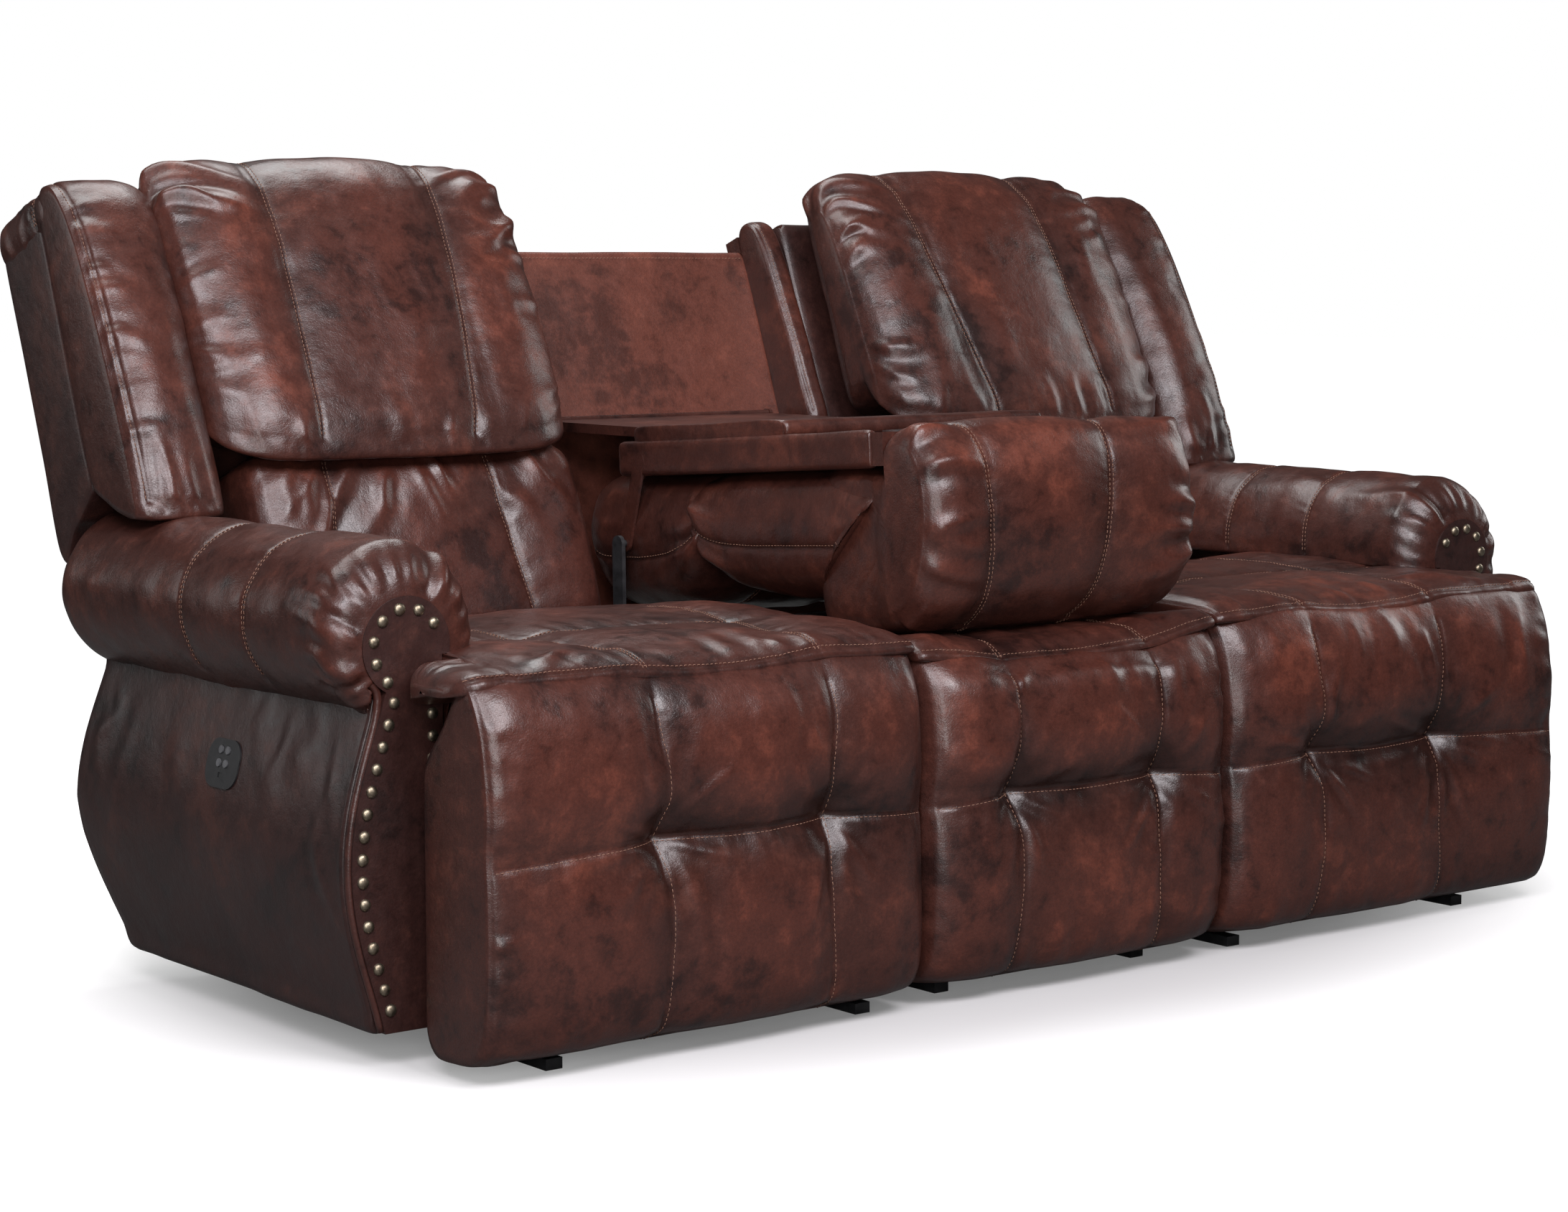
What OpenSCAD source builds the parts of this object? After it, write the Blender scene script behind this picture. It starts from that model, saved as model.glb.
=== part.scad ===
// Three-seat power reclining sofa with rolled arms and a fold-down centre table.
// x runs across the sofa, y from front to rear and z up; the origin is on the floor
// under the middle. "Right" is +x. The right half is modelled and mirrored for the left.

/* [Seats] */
// From each edge of the tray to the seam between two seats
tray_side = 31; // [29:1:45]
// Space between soft pieces of neighbouring seats
seat_gap = 8; // [6:1:12]
// From the middle of the sofa to the inner face of each arm
arm_inner = 896; // [880:1:940]
// Height of the lower edge of the upholstery above the floor
skirt_z = 46; // [40:1:60]
// Height of the seam between seat cushion and front pad
seat_seam_z = 480; // [476:1:484]
// Crown of a side seat cushion above that seam
seat_crown = 11; // [8:1:14]
// Depth of a seat cushion behind the front face of the arms
seat_depth = 480; // [470:1:484]
// How far the seat cushion reaches out in front of the arms
seat_nose = 136; // [130:1:142]
// How far the nose of a side cushion reaches across the arm
nose_overlap = 66; // [50:1:76]
// How far a front pad reaches across the arm
pad_overlap = 52; // [44:1:60]
// How far the front pad bulges out in front of the arms
pad_reach = 187; // [180:1:195]
// Space between the front pad and the arm
pad_behind = 40; // [38:1:42]
// Gap between the front pad and the floor
pad_clear = 22; // [20:1:30]
// Depth of the sewn tufts in the front pads
tuft_depth = 34; // [20:1:40]
// Distance between the two tufts of a front pad
tuft_pitch = 262; // [230:1:280]
// Height of the tufts and of the seam across the front pad
tuft_z = 274; // [250:1:300]

/* [Arms] */
// Radius of the rolled arm top
roll_r = 107; // [100:1:112]
// Height of the axis of the roll
roll_z = 524; // [518:1:528]
// From the inner face of the arm to the axis of the roll
roll_inset = 42.5; // [38:0.5:48]
// Width of the arm panel at its neck
neck_w = 80; // [74:1:90]
// Width of the arm panel at its foot
foot_w = 85; // [78:1:95]
// How far the arm bellies out between neck and foot
arm_bulge = 45; // [30:1:50]
// Depth of the arm from its front face
arm_depth = 715; // [712:1:718]
// Radius of the round head of the arm panel
rosette_r = 60; // [56:1:64]
// Height of the middle of that round head
rosette_z = 507; // [503:1:511]
// Thickness of the arm's front panel
panel_t = 16; // [12:1:20]
// Height of a piped edge beyond the panel it borders
piping = 6; // [4:1:8]

/* [Backs] */
// Tilt of the backs from upright, in degrees
back_tilt = 21; // [20:0.5:22]
// Depth position of the back hinge
hinge_y = 660; // [656:1:664]
// Height of the back hinge
hinge_z = 400; // [398:1:404]
// Length of a back frame from its hinge
back_len = 650; // [640:1:660]
// Depth of a back frame
back_t = 72; // [66:1:78]
// From the inner face of each arm to the outer edge of the back above it
cheek_w = 112; // [104:1:118]
// Height of the crease under the head pillow, along the back
crease_u = 284; // [282:1:286]
// Thickness of the lumbar cushion
lumbar_t = 150; // [140:1:152]
// Thickness of the head pillow at its fullest
pillow_t = 191; // [185:1:192]
// Top of the head pillow, along the back
pillow_top = 712; // [700:1:720]

/* [Table] */
// Half width of the tray
tray_half = 240; // [230:1:241]
// Length of the tray
tray_len = 585; // [575:1:595]
// Thickness of the tray
tray_t = 44; // [40:1:48]
// Rise of the tray towards the front, in degrees
tray_tilt = 4; // [3:0.5:4.5]
// Depth position of the tray's rear edge
tray_rear_y = 554; // [552:1:556]
// Height of the tray's rear edge
tray_rear_z = 698; // [697:1:700]
// Radius of a cup holder's bore
cup_r = 44; // [38:1:46]
// Depth of a cup holder
cup_depth = 38; // [30:1:40]
// Distance between the two cup holders
cup_pitch = 154; // [120:1:180]
// From the front end of the tray to the padded lid, with the cup holders between
cup_zone = 219; // [200:1:245]
// Thickness of the padded lid
lid_t = 20; // [16:1:22]

/* [Controls] */
// Length of the switch plate along the arm
switch_l = 80; // [76:1:90]
// Height of the switch plate
switch_h = 62; // [58:1:66]
// Radius of a push button
button_r = 5.2; // [4.5:0.1:6]
// Distance between neighbouring push buttons
button_pitch = 17; // [15:0.5:20]
// Radius of a nailhead
nail_r = 6.2; // [5:0.1:7]
// Distance between neighbouring nailheads
nail_pitch = 25.4; // [22:0.2:30]

/* [Mechanism] */
// Thickness of the steel plates and links
steel = 6; // [5:0.5:8]
// Radius of a hinge pin
pin_r = 5; // [4:0.5:6]
// Running clearance round a pin
pin_fit = 0.3; // [0.2:0.05:0.5]
// Radius of a linkage pin
link_pin_r = 4; // [3:0.5:5]
// Half width of a link
link_w = 10; // [8:0.5:11]
// Travel of the reclining seat
seat_travel = 100; // [90:1:102]

/* [Hidden] */
$fn = 48;

leather = "#4a1f18";
leather_dark = "#3a1712";
timber = "#b08a5a";
steel_grey = "#4c4f52";
plastic = "#1c1c1e";
brass = "#8d7a55";

// Gaps and stock sizes
gap = 0.3;
slit = 1;
overrun = 5;
ply = 18;
board = 24;
soft_gap = 4;
tube_r = 12;

// Reach of the whole sofa, which sets the origin
back_front = 30;
back_rear = back_t - back_front;
panel_front = 24;
post_rear = 56;
rear_reach = hinge_y + back_len*sin(back_tilt) + post_rear*cos(back_tilt);
origin_y = (rear_reach - pad_reach)/2;

// Seat limits across the sofa
seat_split = tray_half + tray_side;
side_in = seat_split + seat_gap/2;
centre_half = seat_split - seat_gap/2;
side_out = arm_inner - soft_gap;
seat_top = seat_seam_z + seat_crown;

// Arm positions and its bellied outer edge
roll_x = arm_inner + roll_inset;
roll_in = roll_x - roll_r;
back_half = arm_inner + cheek_w;
roll_out = roll_x + roll_r;
roll_top = roll_z + roll_r;
rosette_inset = 49;
rosette_x = arm_inner + rosette_inset;
neck_rise = 33;
neck_z = roll_z - roll_r + neck_rise;
belly_power = 1.2;
function arm_edge(z) = let (t = (z - skirt_z)/(neck_z - skirt_z))
    arm_inner + foot_w + (neck_w - foot_w)*t
    + arm_bulge*pow(max(0, sin(180*t)), belly_power);
edge_steps = 16;

// Height and place of the controls on the arm
switch_y = 319;
switch_z = 336;
switch_t = 5;
switch_proud = 2;
switch_tilt = atan((arm_edge(switch_z - switch_h/2) - arm_edge(switch_z + switch_h/2))/switch_h);
button_travel = 1.2;
button_gap = 0.4;
button_proud = button_travel + button_gap;
button_len = 8;
well_depth = 10;
port = [6.8, 12];
port_depth = 1.5;
housing_l = 54;
housing_h = 50;
housing_d = 16;

// Seat frame heights
box_bottom = 308;
box_top = 345;
box_front = 34;
box_rear = 560;
box_wall = 20;
cushion_bottom = box_top;

// Joint places: footrest hinge, and the four pivots of its parallelogram link
foot_y = -128;
foot_drop = 6;
foot_z = seat_seam_z - foot_drop;
lug_y = -14;
lug_z = 352;
crank_y = 10;
crank_z = 285;
mid_y = crank_y + lug_y - foot_y;
mid_z = crank_z + lug_z - foot_z;
link_t = 5;
link_gap = 2;

// Mechanism planes on both edges of a side seat
rail_w = 24;
rail_inset = 64;
rail_in = side_in + rail_inset;
rail_out = side_out - rail_inset - rail_w/2;
rail_z = skirt_z;
foot_pad_z = 14;

// Table joint
table_y = 540;
table_z = 556;
flap_back = 137;
flap_up = 322;
flap_y = hinge_y + flap_back;
flap_z = hinge_z + flap_up;

// Places a piece on the tilted back, where y is depth and z runs up the back
module on_back() {
    translate([0, hinge_y, hinge_z]) rotate([-back_tilt, 0, 0]) children();
}

// Places a piece on the tray, with the origin at its rear top edge
module on_tray() {
    translate([0, tray_rear_y, tray_rear_z]) rotate([-tray_tilt, 0, 0]) children();
}

// A y-z outline made solid from x0 to x1
module along_x(x0, x1) {
    translate([x0, 0, 0]) rotate([90, 0, 90]) linear_extrude(x1 - x0) children();
}

// An x-z outline made solid from y0 to y1
module along_y(y0, y1) {
    translate([0, y1, 0]) rotate([90, 0, 0]) linear_extrude(y1 - y0) children();
}

// A block between two corners
module block(low, high) {
    translate(low) cube(high - low);
}

// A flat bar with round ends between two points of its plane
module bar_2d(a, b, half) {
    run = norm(b - a);
    translate(a) rotate(atan2(b.y - a.y, b.x - a.x)) {
        translate([0, -half]) square([run, 2*half]);
        circle(half);
        translate([run, 0]) circle(half);
    }
}

// A pin or tube along x through a y-z point
module rod(x0, x1, at, r) {
    translate([x0, at.x, at.y]) rotate([0, 90, 0]) cylinder(h = x1 - x0, r = r);
}

// Puts a right-hand piece on the chosen side
module on_side(side) {
    if (side < 0) mirror([1, 0, 0]) children();
    else children();
}

// Moves the model so that its origin is under the middle
module placed() {
    translate([0, -origin_y, 0]) children();
}

// Soft forms: an outline given as shares of a box, set on rings across the form
function boxed(shares, low, high) =
    [for (s = shares) [low.x + s.x*(high.x - low.x), low.y + s.y*(high.y - low.y)]];

// One ring: the outline drawn in towards a middle point by two shares
function ring(outline, mid, x, draw) =
    [for (p = outline) [x, mid.x + (p.x - mid.x)*draw.x, mid.y + (p.y - mid.y)*draw.y]];

function rings(outline, mid, x0, x1, stations) =
    [for (s = stations) ring(outline, mid, x0 + s.x*(x1 - x0), [s.y, s.z])];

// Skins a stack of rings and closes its ends with fans round the middle
module soft_form(stack, mid) {
    n = len(stack[0]);
    m = len(stack);
    first = [stack[0][0].x, mid.x, mid.y];
    last = [stack[m - 1][0].x, mid.x, mid.y];
    points = [for (r = stack) each r, first, last];
    sides = [for (i = [0:m - 2], j = [0:n - 1]) let (
        a = i*n + j, b = i*n + (j + 1)%n, c = b + n, d = a + n)
        each [[a, c, b], [a, d, c]]];
    start_cap = [for (j = [0:n - 1]) [j, (j + 1)%n, n*m]];
    end_cap = [for (j = [0:n - 1]) [(m - 1)*n + j, n*m + 1, (m - 1)*n + (j + 1)%n]];
    polyhedron(points, concat(sides, start_cap, end_cap));
}

// Stations across a cushion: place share, depth share, height share
cushion_shares = [
    [0, 0.86, 0.62], [0.01, 0.93, 0.8], [0.035, 0.97, 0.92], [0.1, 0.99, 0.98],
    [0.27, 1, 1], [0.3, 0.985, 0.97], [0.33, 1, 1], [0.5, 1, 1], [0.66, 1, 1],
    [0.69, 0.985, 0.97], [0.72, 1, 1], [0.9, 0.99, 0.98], [0.965, 0.97, 0.92],
    [0.99, 0.93, 0.8], [1, 0.86, 0.62]
];

// Arm

// Outline of the arm's front panel, grown by a margin
module panel_outline(grow) {
    top = neck_z + grow;
    zs = [for (i = [0:edge_steps]) skirt_z + (neck_z - skirt_z)*i/edge_steps];
    polygon(concat(
        [[arm_inner - grow, skirt_z - grow]],
        [for (z = zs) [arm_edge(z) + grow, z - (z == skirt_z ? grow : 0)]],
        [[rosette_x, rosette_z], [arm_inner - grow, rosette_z]]));
    difference() {
        translate([rosette_x, rosette_z]) circle(rosette_r + grow);
        translate([arm_inner - grow - roll_r, rosette_z - roll_r])
            square([roll_r, roll_r + seat_top + soft_gap - rosette_z]);
    }
}

// Side view of the arm below its roll
module arm_side() {
    height = roll_z - skirt_z;
    rear_shares = [[0.895, 0], [0.93, 0.12], [0.985, 0.32], [1, 0.42], [0.99, 0.6], [0.97, 0.85], [0.97, 1]];
    polygon(concat(
        [[panel_t, skirt_z]],
        [for (s = rear_shares) [s.x*arm_depth, skirt_z + s.y*height]],
        [[panel_t, roll_z]]));
}

module arm_shell() color(leather) difference() {
    intersection() {
        along_y(panel_t, arm_depth) polygon(concat(
            [[arm_inner, skirt_z]],
            [for (i = [0:edge_steps]) let (z = skirt_z + (neck_z - skirt_z)*i/edge_steps)
                [arm_edge(z) + piping, z]],
            [[roll_x, roll_z], [arm_inner, roll_z]]));
        along_x(arm_inner - overrun, roll_out) arm_side();
    }
    translate([roll_x, 0, roll_z]) rotate([-90, 0, 0])
        cylinder(h = arm_depth + overrun, r = roll_r);
    at_switch() translate([0, 0, -housing_d - switch_t]) linear_extrude(housing_d + 3*switch_t)
        square([housing_h, housing_l] + [1, 1]*2*pin_fit, center = true);
    at_switch() translate([0, 0, -switch_t + switch_proud])
        linear_extrude(3*switch_t) plate_outline(2*pin_fit);
}

// Half profile of the roll along its own axis, from its pleated front to its domed rear
roll_start = 2;
roll_front = 46;
roll_dome = 115;
roll_steps = 8;
roll_rim = rosette_r + soft_gap;
function roll_profile() = concat(
    [[0, roll_start]],
    [for (i = [0:roll_steps]) let (a = 90*i/roll_steps)
        [roll_rim + (roll_r - roll_rim)*sin(a), roll_start + roll_front*(1 - cos(a))]],
    [for (i = [0:roll_steps]) let (a = 90*i/roll_steps)
        [roll_r*cos(a), arm_depth - roll_dome + roll_dome*sin(a)]]);

module arm_roll() color(leather) difference() {
    translate([roll_x, 0, roll_z]) rotate([-90, 0, 0]) rotate_extrude() polygon(roll_profile());
    along_y(-overrun, panel_t) panel_outline(0);
    block([roll_in - overrun, -overrun, roll_z - roll_r - overrun],
        [arm_inner, arm_depth + overrun, seat_top + soft_gap]);
}

module arm_front() color(leather_dark) along_y(0, panel_t) panel_outline(0);

// Controls

module at_switch() {
    x = arm_edge(switch_z) + piping;
    translate([x, switch_y, switch_z]) rotate([0, 90 - switch_tilt, 0]) children();
}

module plate_outline(grow) {
    corner = switch_h*0.38;
    for (u = [-1, 1], v = [-1, 1])
        translate([u*(switch_h/2 - corner), v*(switch_l/2 - corner)]) circle(corner + grow);
    square([switch_h - 2*corner, switch_l + 2*grow], center = true);
    square([switch_h + 2*grow, switch_l - 2*corner], center = true);
}

// Places of the four buttons on the plate
function button_at(i) = [(i < 2 ? -1 : 1)*button_pitch/2 - button_pitch/2, (i%2 == 0 ? -1 : 1)*button_pitch/2];

module switch_plate() color(plastic) at_switch() difference() {
    union() {
        translate([0, 0, switch_proud - switch_t]) linear_extrude(switch_t) plate_outline(0);
        translate([-housing_h/2, -housing_l/2, switch_proud - switch_t - housing_d])
            cube([housing_h, housing_l, housing_d + gap]);
    }
    for (i = [0:3]) translate([each button_at(i), switch_proud - well_depth])
        cylinder(h = well_depth + overrun, r = button_r + button_gap);
    translate([button_pitch*0.88, 0, switch_proud - port_depth]) linear_extrude(port_depth + overrun)
        square(port, center = true);
}

module button(i) color("#3a3b3f") at_switch()
    translate([each button_at(i), switch_proud + button_proud - button_len])
        cylinder(h = button_len, r = button_r);

// Places of the nails: up the bellied edge, round the head, and down the inner edge
nail_inset = 14;
nail_first = -62;
nail_sweep = 258;
side_nails = floor((neck_z - skirt_z - 2*nail_inset)/nail_pitch);
head_nails = 9;
function nail_places() = concat(
    [for (i = [0:side_nails - 1]) let (z = skirt_z + 2*nail_inset + i*nail_pitch)
        [arm_edge(z) - nail_inset, z]],
    [for (i = [0:head_nails - 1]) let (a = nail_first + i*nail_sweep/(head_nails - 1), r = rosette_r - nail_inset)
        [rosette_x + r*cos(a), rosette_z + r*sin(a)]],
    [for (i = [0:side_nails - 1]) [arm_inner + nail_inset, skirt_z + 2*nail_inset + i*nail_pitch]]);

module nailhead() {
    dome = nail_r*0.5;
    rotate([90, 0, 0]) cylinder(h = dome, r1 = nail_r, r2 = nail_r*0.55, $fn = 24);
}

module nailheads() color(brass)
    for (side = [-1, 1]) on_side(side)
        for (p = nail_places()) translate([p.x, 0, p.y]) nailhead();

// Base

// Floor frame: two rails of a side seat and the leg of the centre seat, with cross tubes and toes
rail_rear = 640;
toe_front = -112;
leg_x = 167;
leg_reach = 30;
module floor_rail(x, toe) {
    block([x - rail_w/2, 0, foot_pad_z], [x + rail_w/2, rail_rear, rail_z]);
    block([x - rail_w/2, toe, 0], [x + rail_w/2, toe_rear, foot_pad_z]);
    block([x - rail_w/2, rail_rear - board*2, 0], [x + rail_w/2, rail_rear, foot_pad_z]);
}

toe_rear = 84;
cross_y = [90, 600];
cross_z = (foot_pad_z + rail_z)/2;
module mech_base() color(steel_grey) {
    floor_rail(rail_in, toe_front);
    floor_rail(rail_out, toe_front);
    floor_rail(leg_x + rail_w/2, toe_front + leg_reach);
    for (y = cross_y) rod(leg_x + rail_w/2, rail_out, [y, cross_z], tube_r);
}

// Drive: a motor and gearbox at the rear, and a slotted rail for the sliding block
drive_x = (rail_in + rail_out)/2;
drive_z = 96;
drive_w = 34;
drive_h = 24;
block_y = 395;
drive_front = block_y - seat_travel - 3.5*board;
drive_rear = 500;
gearbox = [76, 90, 62];
motor_r = 27;
motor_len = 110;
module actuator() color(plastic) {
    difference() {
        block([drive_x - drive_w/2, drive_front, drive_z - drive_h/2],
            [drive_x + drive_w/2, drive_rear, drive_z + drive_h/2]);
        block([drive_x - drive_w/4, drive_front + board, drive_z - drive_h/2 - overrun],
            [drive_x + drive_w/4, drive_rear - board, drive_z]);
    }
    block([drive_x - gearbox.x/2, drive_rear, drive_z - gearbox.z/2],
        [drive_x + gearbox.x/2, drive_rear + gearbox.y, drive_z + gearbox.z/2]);
    rod(drive_x + gearbox.x/2, drive_x + gearbox.x/2 + motor_len, [drive_rear + gearbox.y/2, drive_z], motor_r);
    block([drive_x - steel, cross_y[1] - tube_r, cross_z + tube_r],
        [drive_x + steel, drive_rear + gearbox.y, drive_z]);
    block([drive_x - steel, drive_front, drive_z - drive_h/2 - board],
        [drive_x + steel, drive_front + board, drive_z - drive_h/2]);
    block([drive_x - steel, cross_y[0] - tube_r, cross_z + tube_r],
        [drive_x + steel, drive_front + board, drive_z - drive_h/2 - board + steel]);
}

// Seat

// Side plate that slides on a floor rail and carries the box, the crank and the back
plate_floor = 64;
plate_front = 132;
rear_rail = [604, 46, 170];
module plate_2d() {
    difference() {
        union() {
            polygon([
                [plate_front, plate_floor], [box_rear, plate_floor],
                [rear_rail.x - soft_gap*2, rear_rail.z + board], [hinge_y + link_w, hinge_z - link_w],
                [hinge_y - link_w, hinge_z + link_w], [box_rear + soft_gap, box_bottom + board],
                [box_rear + soft_gap, box_bottom], [plate_front, box_bottom]]);
            translate([hinge_y, hinge_z]) circle(link_w*1.6);
            bar_2d([crank_y, crank_z], [plate_front + board, crank_z + link_w], link_w);
        }
        translate([plate_front + 2*board, plate_floor + 2*board])
            square([box_rear - plate_front - 5*board, box_bottom - plate_floor - 4*board]);
    }
}

// Seat-side strap that carries the footrest hinge under the cushion's nose
strap_angle = -27;
strap_half = 2.5;
eye_r = 5;
strap_run = (box_front - steel/2 - foot_y)/cos(strap_angle);
strap_end = [box_front - steel/2, foot_z + strap_run*sin(strap_angle)];
module seat_strap_2d() {
    bar_2d([foot_y, foot_z], strap_end, strap_half);
    translate([foot_y, foot_z]) circle(eye_r);
    translate([box_front - steel, box_bottom]) square([steel, strap_end.y - box_bottom]);
}

strap_inset = 80;
strap_x = [rail_in + strap_inset, rail_out - strap_inset];
carriage_tubes = [[200, 250], [500, 250]];
module seat_carriage() color(steel_grey) {
    for (x = [rail_in, rail_out]) {
        along_x(x - steel/2, x + steel/2) plate_2d();
        for (y = [plate_front, box_rear - 3*board])
            block([x - rail_w/2, y, rail_z + gap], [x + rail_w/2, y + 3*board, plate_floor + gap]);
    }
    rod(rail_in - steel/2 - link_t - 2*link_gap, rail_in + steel/2 + pin_r, [hinge_y, hinge_z], pin_r);
    rod(rail_out - steel/2 - link_t - 3*link_gap, rail_out + steel/2 + pin_r, [hinge_y, hinge_z], pin_r);
    rod(rail_in, rail_in + steel/2 + 2*link_gap + link_t, [crank_y, crank_z], link_pin_r);
    rod(rail_out - steel/2 - 2*link_gap - link_t, rail_out, [crank_y, crank_z], link_pin_r);
    for (t = carriage_tubes) rod(rail_in, rail_out, t, tube_r);
    for (x = strap_x) {
        along_x(x - steel/2, x + steel/2) seat_strap_2d();
        rod(x - steel/2, x + 2*steel, [foot_y, foot_z], link_pin_r/2);
    }
    drive_block();
}

// Block that the drive pulls along its slotted rail, hung from the front tube
module drive_block() {
    half = drive_w/2 + soft_gap;
    difference() {
        block([drive_x - half - steel, block_y, drive_z - drive_h/2 - steel],
            [drive_x + half + steel, block_y + 2*board, drive_z + drive_h/2 + 2*steel]);
        block([drive_x - drive_w/2 - gap, block_y - overrun, drive_z - drive_h/2 - gap],
            [drive_x + drive_w/2 + gap, block_y + 2*board + overrun, drive_z + drive_h/2 + gap]);
        block([drive_x - drive_w/4, block_y - overrun, drive_z - drive_h],
            [drive_x + drive_w/4, block_y + 2*board + overrun, drive_z]);
    }
    along_x(drive_x - steel, drive_x + steel)
        bar_2d([block_y + board, drive_z + drive_h/2 + steel*1.5], carriage_tubes[1], steel);
}

// Timber box of a side seat, open above and below
module seat_frame(x0, x1) {
    difference() {
        block([x0, box_front, box_bottom], [x1, box_rear, box_top]);
        block([x0 + box_wall, box_front + box_wall, box_bottom - overrun],
            [x1 - box_wall, box_rear - box_wall, box_top + overrun]);
    }
}

module seat_box() color(timber) seat_frame(side_in + soft_gap, side_out - soft_gap);

// Sinuous springs: a wave of wire run from front to rear between the box walls
wire = 3.6;
wave_len = 60;
wave_half = 20;
springs = 5;
module wave_spring(y0, y1) {
    steps = 6;
    count = floor((y1 - y0)/wave_len)*steps;
    run = y1 - y0;
    function at(i) = [wave_half*sin(360*i/steps), y0 + run*i/count];
    function normal(i) = let (d = at(i + 0.5) - at(i - 0.5)) [d.y, -d.x]/norm(d);
    polygon(concat(
        [for (i = [0:count]) at(i) + normal(i)*wire/2],
        [for (i = [count:-1:0]) at(i) - normal(i)*wire/2]));
}

module spring_set(x0, x1, count) {
    pitch = (x1 - x0)/count;
    for (i = [0:count - 1]) translate([x0 + pitch*(i + 0.5), 0, box_top - 2*wire])
        linear_extrude(wire) wave_spring(box_front + box_wall + wire/2, box_rear - box_wall - wire/2);
}

module seat_springs() color(steel_grey)
    spring_set(side_in + soft_gap + box_wall, side_out - soft_gap - box_wall, springs);

// Cushion seen from the side: the nose droops over the front pad, the body fills the box
nose_angle = 20;
nose_rear = -16;
nose_lift = 8.6;
function nose_under(y) = foot_z + nose_lift - (y - foot_y)*tan(nose_angle);
function cushion_outline(crown, dip, rear) = [
    [-seat_nose + slit, foot_z + nose_lift], [-seat_nose/2, nose_under(-seat_nose/2)],
    [nose_rear, nose_under(nose_rear)], [box_front + slit, nose_under(nose_rear) - 2*soft_gap],
    [box_front + slit, cushion_bottom], [rear/2, cushion_bottom], [rear - soft_gap, cushion_bottom],
    [rear, (cushion_bottom + seat_seam_z)/2], [rear - soft_gap, seat_seam_z - dip - 2*soft_gap],
    [rear*0.85, seat_seam_z + crown*0.4 - dip], [rear*0.6, seat_seam_z + crown - dip],
    [rear*0.3, seat_seam_z + crown - dip], [rear*0.05, seat_seam_z + crown - dip],
    [-seat_nose*0.4, seat_seam_z + crown - dip*0.55], [-seat_nose*0.8, seat_seam_z + crown*0.8],
    [-seat_nose, seat_seam_z + soft_gap]
];

// The same outline cut off in front of the arm
nose_shares = [
    [0.008, 0.831], [0.453, 0.483], [0.992, 0], [0.993, 0.08], [0.995, 0.16], [0.997, 0.24], [0.998, 0.32],
    [1, 0.4], [0.992, 0.76], [0.967, 0.9], [0.917, 0.98], [0.793, 1], [0.623, 1], [0.453, 0.98],
    [0.227, 0.956], [0, 0.86]
];

cushion_mid = [-60, 462];
module seat_cushion() color(leather) {
    outline = cushion_outline(seat_crown, 0, seat_depth);
    body = side_out - side_in;
    inner = [for (s = cushion_shares) if (s.x < 0.95) s];
    nose_stations = [[0, 1, 1], [0.45, 1, 0.98], [0.75, 0.97, 0.92], [0.93, 0.9, 0.78], [1, 0.8, 0.6]];
    nose = boxed(nose_shares, [-seat_nose, nose_under(nose_rear)], [nose_rear, seat_top]);
    soft_form(concat(
        rings(outline, cushion_mid, side_in, side_out, inner),
        [ring(outline, cushion_mid, side_out - body*0.02, [0.99, 0.95]),
         ring(outline, cushion_mid, side_out - slit, [0.985, 0.93])],
        rings(nose, cushion_mid, side_out, arm_inner + nose_overlap, nose_stations)),
        cushion_mid);
}

// Back

// Side view of the cheek that reaches outside the arm, in the back's own frame
cheek_front = 75;
cheek_low = 102;
cheek_shares = [
    [0.93, 0.012], [1, 0.05], [1, 0.93], [0.94, 0.976], [0.205, 0.998], [0.06, 0.984], [0, 0.93], [0, 0.18],
    [0.03, 0.145], [0.094, 0.131], [0.615, 0.069]
];
module cheek_2d() polygon(boxed(cheek_shares,
    [-cheek_front, crease_u - cheek_low], [back_rear, back_len + board/2]));

slim_w = link_w - link_gap;
slot_w = link_w - slit;
lug_arm = 20;
bridge_drop = 26;
module back_frame() color(leather) on_back() {
    block([side_in + 5*soft_gap, -back_front, lug_arm], [roll_in - soft_gap, back_rear, back_len]);
    along_x(arm_inner - 2*soft_gap, back_half) cheek_2d();
    block([roll_in - 2*soft_gap, -back_front, crease_u - bridge_drop], [arm_inner, back_rear, back_len]);
    hinge_lug(rail_in - steel/2 - link_t - link_gap);
    hinge_lug(rail_out - steel/2 - link_t - link_gap);
    for (x = lug_x) along_x(x - steel/2, x + steel/2) difference() {
        union() {
            bar_2d([-back_front - gap, crease_u], [-lug_reach, crease_u], slim_w);
            translate([-back_front, crease_u - slim_w]) square([steel, 2*slim_w]);
        }
        translate([-lug_reach, crease_u]) circle(link_pin_r + pin_fit);
    }
}

module hinge_lug(x) {
    along_x(x, x + link_t) difference() {
        union() {
            circle(link_w*1.4);
            translate([-link_w, 0]) square([2*link_w, 2*lug_arm]);
        }
        circle(pin_r + pin_fit);
    }
}

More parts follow.
